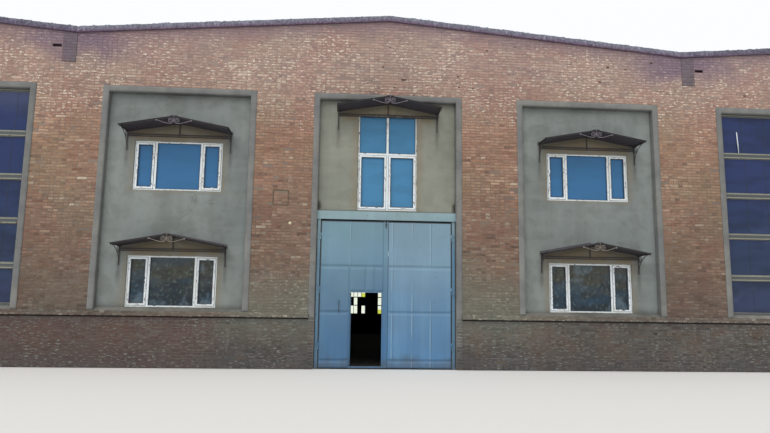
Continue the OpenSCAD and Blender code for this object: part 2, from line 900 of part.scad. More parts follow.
// Profiled sheet laid over a frame, with ribs from ridge to eaves and a cap over the ridge.
module canopy_sheet() {
    half = canopy_w / 2 + sheet_over;
    upright_t = sheet_t / cos(canopy_pitch);
    deep = canopy_out + sheet_over;
    ribs = floor((deep - rib_pitch / 2) / rib_pitch);
    run = half / cos(canopy_pitch);
    bed = sheet_t / 4;
    upright(-deep, 0) {
        chevron(half, upright_t, -seat_gap);
        chevron(cap_w / 2, 2 * upright_t + rib_h, -seat_gap - upright_t / 2);
    }
    mirrored_pair()
        translate([0, 0, canopy_rise + seat_gap + upright_t]) rotate([0, canopy_pitch, 0])
            for (i = [0:ribs - 1])
                translate([0, -deep + rib_pitch * (i + 0.5), 0])
                    across(cap_w / 8, run)
                        polygon([[-rib_foot / 2, -bed], [rib_foot / 2, -bed],
                                 [rib_top / 2, rib_h], [-rib_top / 2, rib_h]]);
}

module canopy_sheets() {
    color("saddlebrown") at_canopies() canopy_sheet();
}

// Centreline of the right half of the ornament: a scroll that unrolls into a rising tail.
scroll_x = scroll_r + scroll_gap;
scroll_steps = 36;
tail_steps = 10;
tail_wave = 120;
function scroll_path() = concat(
    [for (i = [0:scroll_steps]) let(
        a = 270 - 360 * scroll_turns * (1 - i / scroll_steps),
        r = eye_r + (scroll_r - eye_r) * i / scroll_steps
    ) [scroll_x + r * cos(a), r * sin(a)]],
    [for (i = [1:tail_steps]) let(t = i / tail_steps)
        [scroll_x + tail_l * t,
         -scroll_r + tail_rise * (1 - cos(tail_wave * t)) / (1 - cos(tail_wave))]]
);

// Ornament that hangs on the front rafters under the ridge: two scrolls, a collar and a stem.
module scroll_ornament() {
    path = scroll_path();
    tip = path[len(path) - 1];
    collar = scroll_gap + scroll_bar;
    upright(-scroll_t, 0) {
        mirrored_pair() polygon(bar_outline(path, scroll_bar));
        translate([-collar, -collar_h / 2]) square([2 * collar, collar_h]);
        translate([-scroll_bar / 2, 0]) square([scroll_bar, scroll_drop - rafter / 2]);
    }
    mirrored_pair() translate([tip[0], -scroll_t, tip[1]]) rotate([-90, 0, 0])
        cylinder(r = tip_r, h = scroll_t);
}

module canopy_scrolls() {
    color("silver") at_canopies()
        translate([0, -canopy_out, canopy_rise - scroll_drop]) scroll_ornament();
}

// Hinge axes of the leaves and the outer edges of the leaves.
leaf_edge = half_open - jamb_f - leaf_gap;
axis_x = leaf_edge + leaf_gap / 2;
axis_y = gate_set - knuckle_r - knuckle_clear;
leaf_top = gate_h - head_gap;

// Fixed half of a hinge: a knuckle with its pin, welded to a plate on the jamb.
module jamb_hinge(z) {
    translate([axis_x, axis_y, z]) {
        cylinder(r = knuckle_r, h = knuckle_h);
        cylinder(r = pin_r, h = 2 * knuckle_h + knuckle_gap);
    }
    block([axis_x, gate_set - strap_t, z], [half_open - jamb_f / 4, gate_set, z + knuckle_h]);
}

// Steel jambs as square tubes, a channel lintel over them, and the hinge pins.
module gate_frame() {
    front = gate_set - lintel_out;
    back = gate_set + jamb_d;
    color("steelblue") placed() {
        mirrored_pair() {
            difference() {
                block([half_open - jamb_f, gate_set, 0], [half_open, back, gate_h]);
                block([half_open - jamb_f + steel_t, gate_set + steel_t, -cut],
                      [half_open - steel_t, back - steel_t, gate_h + cut]);
            }
            for (z = hinge_z) jamb_hinge(z);
        }
        difference() {
            block([-half_open, front, gate_h], [half_open, back, gate_h + lintel_h]);
            block([-half_open - cut, front + steel_t, gate_h + steel_t],
                  [half_open + cut, back + cut, gate_h + lintel_h - steel_t]);
        }
    }
}

// Moving half of a hinge: a bored knuckle with a long strap on the leaf.
module leaf_hinge(z) {
    low = z + knuckle_h + knuckle_gap;
    difference() {
        union() {
            translate([axis_x, axis_y, low]) cylinder(r = knuckle_r, h = knuckle_h);
            block([axis_x - strap_l, gate_set - strap_t, low + knuckle_h / 5],
                  [axis_x, gate_set, low + 4 * knuckle_h / 5]);
        }
        translate([axis_x, axis_y, low - cut])
            cylinder(r = pin_r + pin_fit, h = knuckle_h + 2 * cut);
    }
}

frame_y0 = gate_set + skin_t;
frame_y1 = frame_y0 + bar_d;
wicket_right = joint_x - leaf_gap / 2 - wicket_stile;
wicket_left = wicket_right - wicket_w;

// Frame of a leaf from the meeting joint out to its hinge side, with a rail at each seam.
module leaf_bars(inner_x) {
    lows = concat([leaf_z + bar_f], [for (z = seam_z) z + bar_f / 2]);
    highs = concat([for (z = seam_z) z - bar_f / 2], [leaf_top - bar_f]);
    upright(frame_y0, frame_y1) difference() {
        translate([inner_x, leaf_z]) square([leaf_edge - inner_x, leaf_top - leaf_z]);
        for (i = [0:len(lows) - 1])
            translate([inner_x + bar_f, lows[i]])
                square([leaf_edge - inner_x - 2 * bar_f, highs[i] - lows[i]]);
    }
}

// Fixed half of a wicket hinge, on the back of the leaf's stile.
wicket_axis_x = wicket_left - wicket_offset;
wicket_axis_y = frame_y1 + wicket_knuckle_r;

module stile_hinge(z) {
    half = wicket_plate_w / 2;
    block([wicket_axis_x - half, frame_y1, z],
          [wicket_axis_x + half, wicket_axis_y, z + wicket_knuckle_h]);
    translate([wicket_axis_x, wicket_axis_y, z]) {
        cylinder(r = wicket_knuckle_r, h = wicket_knuckle_h);
        cylinder(r = wicket_pin_r, h = 2 * wicket_knuckle_h + knuckle_gap);
    }
}

module gate_leaf_left() {
    inner = -(joint_x - leaf_gap / 2);
    color("steelblue") placed() {
        difference() {
            union() {
                mirror([1, 0, 0]) leaf_bars(inner);
                block([wicket_left - bar_f, frame_y0, leaf_z], [wicket_left, frame_y1, leaf_top]);
                block([wicket_left - bar_f, frame_y0, wicket_top],
                      [-inner, frame_y1, wicket_top + bar_f]);
                block([wicket_right, frame_y0, leaf_z], [-inner, frame_y1, wicket_top + bar_f]);
                block([wicket_left, frame_y0, leaf_z], [wicket_right, frame_y1, wicket_z]);
            }
            block([wicket_left, frame_y0 - cut, wicket_z], [wicket_right, frame_y1 + cut, wicket_top]);
        }
        for (z = wicket_hinge_z) stile_hinge(z);
    }
}

module gate_leaf_right() {
    color("steelblue") placed() leaf_bars(joint_x + leaf_gap / 2);
}

// Sheet of a leaf with lapped seams, from the joint out to the hinge side.
module skin(inner_x) {
    block([inner_x, gate_set, leaf_z], [leaf_edge, gate_set + skin_t, leaf_top]);
    for (z = seam_z)
        block([inner_x, gate_set - lap_t, z - lap_w / 2], [leaf_edge, gate_set, z + lap_w / 2]);
}

// Strip over the meeting joint with its drop bolt, and trim and seams round the wicket.
module left_skin_dress(strip_x) {
    block([strip_x, gate_set - strip_t, leaf_z], [strip_x + strip_w, gate_set, leaf_top]);
    upright(gate_set - trim_t, gate_set)
        translate([wicket_left - trim_w, leaf_z])
            square([wicket_w + 2 * trim_w, wicket_top + trim_w - leaf_z]);
    for (x = head_seam_x) {
        high = x == max(head_seam_x) ? leaf_top : seam_z[2];
        block([wicket_right - x - lap_w / 2, gate_set - lap_t, wicket_top],
              [wicket_right - x + lap_w / 2, gate_set, high]);
    }
    bolt_x = strip_x + strip_w / 2;
    bolt_y = gate_set - strip_t - bolt_r - bolt_clear;
    translate([bolt_x, bolt_y, leaf_top - bolt_l - bolt_r]) cylinder(r = bolt_r, h = bolt_l);
    for (z = [leaf_top - bolt_l, leaf_top - bolt_l / 2])
        block([bolt_x - 2 * bolt_r, bolt_y - bolt_r - guide_t, z],
              [bolt_x + 2 * bolt_r, gate_set - strip_t, z + 2 * bolt_r]);
}

module gate_skin_left() {
    joint = joint_x - leaf_gap / 2;
    color("skyblue") placed() {
        difference() {
            union() {
                mirror([1, 0, 0]) skin(-joint);
                left_skin_dress(joint - strip_w);
            }
            block([wicket_left, gate_set - strip_t - cut, wicket_z],
                  [wicket_right, gate_set + skin_t + cut, wicket_top]);
        }
        mirror([1, 0, 0]) for (z = hinge_z) leaf_hinge(z);
    }
}

module gate_skin_right() {
    inner = joint_x + leaf_gap / 2;
    color("skyblue") placed() {
        skin(inner);
        for (x = fold_x)
            block([inner + x - fold_w / 2, gate_set - fold_out, leaf_z],
                  [inner + x + fold_w / 2, gate_set, leaf_top]);
        for (z = hinge_z) leaf_hinge(z);
    }
}

// Moving half of a wicket hinge, cranked clear of the stile.
module wicket_hinge(z) {
    low = z + wicket_knuckle_h + knuckle_gap;
    foot = low + wicket_knuckle_h / 6;
    head = low + 5 * wicket_knuckle_h / 6;
    strap_y = wicket_axis_y - wicket_strap_t / 2;
    door_back = frame_y0 + wicket_bar;
    difference() {
        union() {
            translate([wicket_axis_x, wicket_axis_y, low])
                cylinder(r = wicket_knuckle_r, h = wicket_knuckle_h);
            block([wicket_axis_x, strap_y, foot],
                  [wicket_left + wicket_strap_l, strap_y + wicket_strap_t, head]);
            block([wicket_left + wicket_gap + strap_foot, door_back, foot],
                  [wicket_left + wicket_strap_l, strap_y, head]);
        }
        translate([wicket_axis_x, wicket_axis_y, low - cut])
            cylinder(r = wicket_pin_r + pin_fit, h = wicket_knuckle_h + 2 * cut);
    }
}

// Wicket door: a bar frame with a middle rail and a sheet, drawn closed, then swung inwards.
module wicket_door() {
    x0 = wicket_left + wicket_gap;
    w = wicket_w - 2 * wicket_gap;
    z0 = wicket_z + wicket_gap;
    h = wicket_top - wicket_z - 2 * wicket_gap;
    color("steelblue") placed()
        translate([wicket_axis_x, wicket_axis_y, 0]) rotate([0, 0, wicket_open])
            translate([-wicket_axis_x, -wicket_axis_y, 0]) {
                ring_frame(x0, z0, w, h, wicket_bar, frame_y0, frame_y0 + wicket_bar);
                block([x0, frame_y0, z0 + h / 2], [x0 + w, frame_y0 + wicket_bar, z0 + h / 2 + wicket_bar]);
                block([x0, gate_set, z0], [x0 + w, frame_y0, z0 + h]);
                for (z = wicket_hinge_z) wicket_hinge(z);
            }
}

front_wall_left();
front_wall_right();
front_gable();
left_infill_wall();
right_infill_wall();
centre_infill_wall();
opening_surrounds();
string_course();
opening_sills();
valley_pads();
back_wall();
back_gable();
left_party_wall();
right_party_wall();
front_coping();
back_coping();
party_copings();
centre_roof();
wing_roofs();
valley_gutters();
roof_girders();
wing_girders();
hall_columns();
floor_slab();
upper_floor();
upper_floor_frame();
window_upper_left();
window_lower_left();
window_upper_right();
window_lower_right();
window_centre();
office_window_glass();
hall_window_frames();
hall_window_glass();
back_window_frames();
back_window_glass();
canopy_frames();
canopy_sheets();
canopy_scrolls();
gate_frame();
gate_leaf_left();
gate_skin_left();
gate_leaf_right();
gate_skin_right();
wicket_door();
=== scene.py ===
"""Looks of the brick factory building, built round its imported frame.

Metres throughout; X runs along the front, Y through the depth, Z up. New pieces are numpy
surfaces whose vertices are worked out as whole arrays, and every colour comes from nodes.
"""
import logging
import math
from dataclasses import dataclass, field
from enum import Enum
from functools import partial, reduce
from itertools import product
from typing import Callable

import bpy
import numpy as np
from mathutils import Matrix


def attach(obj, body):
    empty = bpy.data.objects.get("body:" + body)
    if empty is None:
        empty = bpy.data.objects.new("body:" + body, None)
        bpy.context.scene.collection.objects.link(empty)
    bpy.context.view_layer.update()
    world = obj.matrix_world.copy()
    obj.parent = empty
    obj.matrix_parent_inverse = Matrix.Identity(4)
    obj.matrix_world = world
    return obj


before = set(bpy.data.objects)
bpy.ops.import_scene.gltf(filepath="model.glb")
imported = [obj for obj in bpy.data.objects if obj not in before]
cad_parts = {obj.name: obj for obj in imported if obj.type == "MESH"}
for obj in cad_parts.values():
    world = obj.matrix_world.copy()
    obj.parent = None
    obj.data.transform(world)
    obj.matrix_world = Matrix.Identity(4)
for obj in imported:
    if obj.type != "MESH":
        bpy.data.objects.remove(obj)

log = logging.getLogger("factory")
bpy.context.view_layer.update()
Array = np.ndarray
Span = tuple[float, float]
Hole = tuple[float, float, float, float]
Colour = tuple[float, float, float]
Triple = tuple[float, float, float]
Row = tuple[float, ...]
Rule = Callable[[Array, Array], Array]
UP = np.array([0.0, 0.0, 1.0])
SUNK = -0.004  # how far the hidden rim of an applied piece lies inside what carries it

# numbers and noise

LATTICE = np.random.default_rng(6996).random((64, 64))


def value_noise(u: Array, v: Array, cell: float, seed: int = 0) -> Array:
    """Smooth noise from 0 to 1: table values at whole steps, blended by 3t^2 - 2t^3.

    Args:
        u, v: Coordinates in metres, of the same shape.
        cell: Length of one step in metres.
        seed: Shifts the place in the table.

    Returns:
        The noise at each place.
    """
    a, b = np.asarray(u) / cell + 17.3 * seed, np.asarray(v) / cell + 9.7 * seed
    i, j = np.floor(a).astype(int), np.floor(b).astype(int)
    s, t = a - i, b - j
    s, t = s * s * (3 - 2 * s), t * t * (3 - 2 * t)
    i, j, i1, j1 = (part % len(LATTICE) for part in (i, j, i + 1, j + 1))
    low = LATTICE[i, j] * (1 - s) + LATTICE[i1, j] * s
    high = LATTICE[i, j1] * (1 - s) + LATTICE[i1, j1] * s
    return low * (1 - t) + high * t


def octaves(u: Array, v: Array, cell: float, count: int = 3, seed: int = 0) -> Array:
    """Sum of noises, each of half the cell and half the height of the one before, from 0 to 1."""
    weights = [0.5 ** k for k in range(count)]
    return sum(w * value_noise(u, v, cell * w, seed + k) for k, w in enumerate(weights)) / sum(weights)


def ease(x: Array, low: float, high: float) -> Array:
    """Smooth step: 0 below low, 1 above high and 3t^2 - 2t^3 between."""
    t = np.clip((np.asarray(x) - low) / (high - low), 0, 1)
    return t * t * (3 - 2 * t)


def steps(low: float, high: float, pitch: float) -> Array:
    """Evenly spaced places from low to high, about one pitch apart."""
    return np.linspace(low, high, max(2, round((high - low) / pitch) + 1))


def mirrored(near: float, far: float) -> list[Span]:
    """The span between two distances from the middle, first on the left and then on the right."""
    return [(-far, -near), (near, far)]


def seeded(seed: int) -> np.random.Generator:
    """A dataclass field with a row of random draws of its own."""
    return field(default_factory=lambda: np.random.default_rng(seed))


# plan

@dataclass(frozen=True)
class Plan:
    """Sizes that several sub-assemblies share."""

    bay: float = 5.5
    bays: tuple[int, ...] = (-2, -1, 0, 1, 2)
    end_x: float = 13.75
    side_y: float = 11.0
    infill_back: float = 0.15
    gate_back: float = 0.1
    band_proud: float = 0.015
    valley_x: float = 8.25
    valley_z: float = 8.64
    ridge_rise: float = 0.69
    head_z: float = 7.08
    lintel_z: float = 4.06
    dado_z: float = 1.40
    sill_z: float = 1.48
    back_sill_z: float = 1.13
    half_open: float = 1.8375
    half_end: float = 1.67
    band: float = 0.15
    party: float = 0.38
    window_w: float = 2.27
    window_h: float = 1.305
    window_z: Span = (1.49, 4.5)
    middle_w: float = 1.59
    middle_z: Triple = (4.107, 5.637, 6.707)
    canopy_half: float = 1.35
    canopy_rise: float = 0.25
    eaves: Triple = (3.04, 6.05, 6.787)
    patch: Hole = (-2.997, 4.159, -2.585, 4.567)

    def top(self, x: Array) -> Array:
        """Height of the brickwork: the valley's height plus the slope times the distance from it."""
        return self.valley_z + self.ridge_rise / self.valley_x * np.abs(np.abs(x) - self.valley_x)

    def back_half(self, bay: int) -> float:
        """Half the width of the back opening in a bay counted from the middle."""
        return self.half_end if abs(bay) == 2 else self.half_open


plan = Plan()


# meshes in the making

@dataclass
class Shell:
    """A mesh in the making: points, faces of three or four corners, values on the points.

    A face is a row of four point numbers, and a triangle has -1 as its last.
    """

    points: Array
    faces: Array
    values: dict[str, Array] = field(default_factory=dict)

    @staticmethod
    def joined(shells: list["Shell"]) -> "Shell":
        """Joins shells into one.

        Args:
            shells: What is joined. A value that one of them lacks is 0 there.

        Returns:
            One shell.
        """
        keys = {key for shell in shells for key in shell.values}
        starts = np.cumsum([0] + [len(shell.points) for shell in shells])
        faces = [np.where(s.faces < 0, -1, s.faces + start) for s, start in zip(shells, starts)]
        values = {key: np.concatenate([s.values.get(key, np.zeros(len(s.points))) for s in shells])
                  for key in keys}
        return Shell(np.concatenate([s.points for s in shells]), np.concatenate(faces), values)

    def piece(self, name: str, finish: "Finish", slot: str, body: str = "building",
              smooth: bool = False) -> None:
        """Puts the shell into Blender as a piece that rides on a body.

        Args:
            name: Name of the piece.
            finish: What it is made of.
            slot: Not used.
            body: The body it moves with.
            smooth: Whether the faces are shaded smooth.
        """
        mesh = bpy.data.meshes.new(name)
        mesh.vertices.add(len(self.points))
        mesh.vertices.foreach_set("co", self.points.astype(np.float32).ravel())
        corners = self.faces >= 0
        mesh.loops.add(int(corners.sum()))
        mesh.loops.foreach_set("vertex_index", self.faces[corners].astype(np.int32))
        mesh.polygons.add(len(self.faces))
        starts = np.concatenate([[0], np.cumsum(corners.sum(axis=1))[:-1]])
        mesh.polygons.foreach_set("loop_start", starts.astype(np.int32))
        mesh.polygons.foreach_set("use_smooth", np.full(len(self.faces), smooth))
        for key, value in self.values.items():
            layer = mesh.attributes.new(key, "FLOAT", "POINT")
            layer.data.foreach_set("value", value.astype(np.float32))
        mesh.update(calc_edges=True)
        mesh.materials.append(finish.material())
        thing = bpy.data.objects.new(name, mesh)
        bpy.context.scene.collection.objects.link(thing)
        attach(thing, body)
        log.info("%s: %d faces", name, len(self.faces))


def box_template() -> tuple[Array, Array, Array]:
    """Works out a box whose edges and corners are cut off.

    Three points stand at each corner, one for each axis. The point of an axis reaches the full
    length along it and is inset along the other two. Six faces, twelve edge strips and eight
    corner triangles join them, each turned so that it looks away from the middle.

    Returns:
        The signs and the insets of the points, and the faces.
    """
    corners = np.array(list(product((-1.0, 1.0), repeat=3)))
    signs, insets = np.tile(corners, (3, 1)), 1 - np.repeat(np.eye(3), 8, axis=0)
    faces = [[i, 8 + i, 16 + i, -1] for i in range(8)]
    for axis, b, c in ((0, 1, 2), (1, 0, 2), (2, 0, 1)):
        faces += [8 * axis + np.flatnonzero(corners[:, axis] == side)[[0, 1, 3, 2]] for side in (-1, 1)]
        for sb, sc in product((-1, 1), repeat=2):
            one, two = np.flatnonzero((corners[:, b] == sb) & (corners[:, c] == sc))
            faces.append([8 * b + one, 8 * b + two, 8 * c + two, 8 * c + one])
    faces = np.array(faces)
    sample = signs * (1 - 0.2 * insets)
    for face in faces:
        ring = sample[face[face >= 0]]
        if np.dot(np.cross(ring[1] - ring[0], ring[2] - ring[0]), ring.mean(axis=0)) < 0:
            face[:len(ring)] = face[:len(ring)][::-1].copy()
    return signs, insets, faces


BOX_SIGNS, BOX_INSETS, BOX_FACES = box_template()


def repeated(faces: Array, size: int, count: int) -> Array:
    """Faces of a number of copies of a template that has a size in points."""
    every = faces[None] + size * np.arange(count)[:, None, None]
    return np.where(faces[None] < 0, -1, every).reshape(-1, 4)


def boxes(low: Array, high: Array, bevel: float = 0.002, **values: Array) -> Shell:
    """Boxes with cut edges: each point is the middle plus its sign times half the size less the cut.

    Args:
        low, high: Corners, one row a box.
        bevel: How much is cut off each edge.
        values: A value for each box, by name.

    Returns:
        One shell of all the boxes.
    """
    low, high = np.asarray(low, float), np.asarray(high, float)
    middle, half = (low + high) / 2, (high - low) / 2
    cut = np.minimum(bevel, 0.45 * half.min(axis=1))[:, None, None] * BOX_INSETS
    points = middle[:, None] + BOX_SIGNS * (half[:, None] - cut)
    return Shell(points.reshape(-1, 3), repeated(BOX_FACES, len(BOX_SIGNS), len(low)),
                 {key: np.repeat(value, len(BOX_SIGNS)) for key, value in values.items()})


def grid_faces(rows: int, columns: int, closed: bool = False) -> Array:
    """Faces of a grid of points that are numbered row by row.

    Args:
        rows, columns: Rows of points, and points in a row.
        closed: Whether the last column is joined to the first.

    Returns:
        One row of four point numbers a face.
    """
    i, j = np.meshgrid(np.arange(rows - 1), np.arange(columns if closed else columns - 1), indexing="ij")
    i, j = i.ravel(), j.ravel()
    k = (j + 1) % columns
    return np.c_[i * columns + j, i * columns + k, (i + 1) * columns + k, (i + 1) * columns + j]


def tube(path: Array, radius: float | Array, sides: int = 8) -> Shell:
    """A round bar along a path: rings of points radius * (cos a, sin a) across the path's run.

    Args:
        path: Points of the middle line, one row each.
        radius: One radius, or one for each point.
        sides: Points in a ring.

    Returns:
        The bar, closed at both ends.
    """
    path = np.asarray(path, float)
    run = np.gradient(path, axis=0)
    run /= np.linalg.norm(run, axis=1, keepdims=True)
    side = np.cross(run, UP)
    side[np.linalg.norm(side, axis=1) < 0.05] = (1.0, 0.0, 0.0)
    side /= np.linalg.norm(side, axis=1, keepdims=True)
    rise = np.cross(side, run)
    angle = (np.arange(sides) * math.tau / sides)[None, :, None]
    spread = np.broadcast_to(radius, len(path))[:, None, None]
    rings = path[:, None] + spread * (np.cos(angle) * side[:, None] + np.sin(angle) * rise[:, None])
    faces = [grid_faces(len(path), sides, closed=True)[:, ::-1]]
    for row, tip, way in ((0, 0, 1), (len(path) - 1, 1, -1)):
        edge = row * sides + np.stack([np.arange(sides), (np.arange(sides) + 1) % sides])[::way]
        faces.append(np.stack([*edge, np.full(sides, rings[..., 0].size + tip), np.full(sides, -1)], axis=1))
    return Shell(np.concatenate([rings.reshape(-1, 3), path[[0, -1]]]), np.concatenate(faces))


def discs(middles: Array, outward: Array, radius: float, height: float, sides: int = 8) -> Shell:
    """Low round heads, such as rivets: a ring on the face, a smaller ring proud of it, a top point.

    Args:
        middles: Middles on the face, one row each.
        outward: Direction away from the face.
        radius: Radius of the foot.
        height: How proud the top stands.
        sides: Points in a ring.

    Returns:
        One shell of all the heads.
    """
    outward = np.asarray(outward, float)
    across = np.cross(outward, UP)
    across /= np.linalg.norm(across)
    angle = (np.arange(sides) * math.tau / sides)[:, None]
    ring = np.cos(angle) * across + np.sin(angle) * np.cross(outward, across)
    template = np.concatenate([radius * ring + SUNK * 0.5 * outward,
                               0.72 * radius * ring + 0.7 * height * outward, height * outward[None]])
    turn, after = np.arange(sides), (np.arange(sides) + 1) % sides
    top, none = np.full(sides, 2 * sides), np.full(sides, -1)
    faces = np.stack([np.r_[turn, sides + turn], np.r_[after, sides + after],
                      np.r_[sides + after, top], np.r_[sides + turn, none]], axis=1)
    points = (np.asarray(middles)[:, None] + template[None]).reshape(-1, 3)
    return Shell(points, repeated(faces, len(template), len(middles)))


def with_breaks(places: Array, breaks: list[float], rim: float) -> Array:
    """Puts lines into a row of places at each break and one rim to each side of it.

    Args:
        places: The places before.
        breaks: Where lines are wanted besides the two ends.
        rim: The distance to the lines beside them.

    Returns:
        The new places in order, without old ones within two rims of a line.
    """
    wanted = [b + s for b in breaks for s in (-rim, 0.0, rim)]
    wanted += [places[0], places[0] + rim, places[-1] - rim, places[-1]]
    wanted = np.array([w for w in wanted if places[0] <= w <= places[-1]])
    free = places[np.abs(places[:, None] - wanted[None]).min(axis=1) > 2 * rim]
    return np.unique(np.concatenate([free, wanted]).round(6))


@dataclass(frozen=True)
class WallFace:
    """A wall face: a point of its plane, the way along it to the right, and the way out."""

    origin: Triple
    along: Triple
    outward: Triple

    def at(self, u: Array, z: Array, d: Array) -> Array:
        """Points u along the face, z up and d proud of it."""
        u, z, d = (np.asarray(part)[..., None] for part in (u, z, d))
        return np.array(self.origin) + u * np.array(self.along) + z * UP + d * np.array(self.outward)

    def boxes(self, low: Array, high: Array, bevel: float = 0.002, **values: Array) -> Shell:
        """Boxes given along, out and up on this face: their points and faces are turned with it."""
        made = boxes(low, high, bevel, **values)
        return Shell(self.at(*made.points.T[[0, 2, 1]]), made.faces[:, [2, 1, 0, 3]], made.values)

    def bars(self, spans: list[Hole], back: float, front: float, bevel: float = 0.0015) -> Shell:
        """Flat bars on this face from their low and high corners, between two depths."""
        u0, z0, u1, z1 = np.array(spans).T
        return self.boxes(np.c_[u0, 0 * u0 + back, z0], np.c_[u1, 0 * u1 + front, z1], bevel)

    def sheet(self, u: Array, z: Array, depth: Rule, holes: list[Hole] = (), rim: float = 0.003,
              values: dict[str, Rule] | None = None) -> Shell:
        """A skin laid on the face: a grid whose depth is a function of its place, rims sunk.

        Lines of the grid run at the given places, at the holes' edges and one rim inside each
        edge. Points on an edge lie sunk in the wall, and the cells of the holes are left out.

        Args:
            u, z: Places along the face and up it.
            depth: How proud the skin stands at a place.
            holes: Low u, low z, high u and high z of each hole.
            rim: Width of the turned-in edge.
            values: Functions of the place that give values on the points.

        Returns:
            The skin.
        """
        us = with_breaks(u, [h[0] for h in holes] + [h[2] for h in holes], rim)
        zs = with_breaks(z, [h[1] for h in holes] + [h[3] for h in holes], rim)
        uu, zz = np.meshgrid(us, zs)
        faces = grid_faces(len(zs), len(us))
        middle_u, middle_z = uu.ravel()[faces].mean(axis=1), zz.ravel()[faces].mean(axis=1)
        edge = (uu <= us[0]) | (uu >= us[-1]) | (zz <= zs[0]) | (zz >= zs[-1])
        kept = np.ones(len(faces), bool)
        for u0, z0, u1, z1 in holes:
            edge |= (uu > u0 - 1e-6) & (uu < u1 + 1e-6) & (zz > z0 - 1e-6) & (zz < z1 + 1e-6)
            kept &= ~((middle_u > u0) & (middle_u < u1) & (middle_z > z0) & (middle_z < z1))
        used, faces = np.unique(faces[kept], return_inverse=True)
        points = self.at(uu, zz, np.where(edge, SUNK, depth(uu, zz))).reshape(-1, 3)[used]
        made = {key: rule(uu, zz).ravel()[used] for key, rule in (values or {}).items()}
        return Shell(points, faces.reshape(-1, 4), made)


def facing(x: float, y: float) -> WallFace:
    """The face of a wall that stands across X or Y and looks away from the middle."""
    return WallFace((x, y, 0.0), (-np.sign(y), np.sign(x), 0.0), (np.sign(x), np.sign(y), 0.0))


FRONT, INFILL, BAND, GATE = (facing(0.0, back - plan.side_y)
                             for back in (0.0, plan.infill_back, -plan.band_proud, plan.gate_back))
BACK, LEFT, RIGHT = facing(0.0, plan.side_y), facing(-plan.end_x, 0.0), facing(plan.end_x, 0.0)


# node trees

def paint(red: float, green: float, blue: float) -> tuple[float, float, float, float]:
    """Turns a colour as a screen shows it, 0 to 255, into the linear light that nodes take."""
    part = np.array([red, green, blue]) / 255
    return (*np.where(part <= 0.04045, part / 12.92, ((part + 0.055) / 1.055) ** 2.4).tolist(), 1.0)


def arithmetic(operation: str) -> Callable[..., "Signal"]:
    """A method that puts a signal, and a signal or a number after it, through a Math node."""
    return lambda one, other=0.0: one.graph.math(operation, one, other)


@dataclass(frozen=True)
class Signal:
    """What a node puts out. Sums, differences, products and shares of signals are nodes too."""

    graph: "Graph"
    socket: bpy.types.NodeSocket

    __add__, __sub__, __mul__, __truediv__, __abs__ = (
        arithmetic(name) for name in ("ADD", "SUBTRACT", "MULTIPLY", "DIVIDE", "ABSOLUTE"))

    def remap(self, low: float, high: float, to_low: float = 0.0, to_high: float = 1.0) -> "Signal":
        """The value carried smoothly from one range to another and kept inside it."""
        given = dict(enumerate((self, low, high, to_low, to_high)))
        return self.graph.add("MapRange", given, interpolation_type="SMOOTHSTEP")


Part = Signal | float
Hue = Signal | Colour
Sockets = dict[str, Part | Hue]


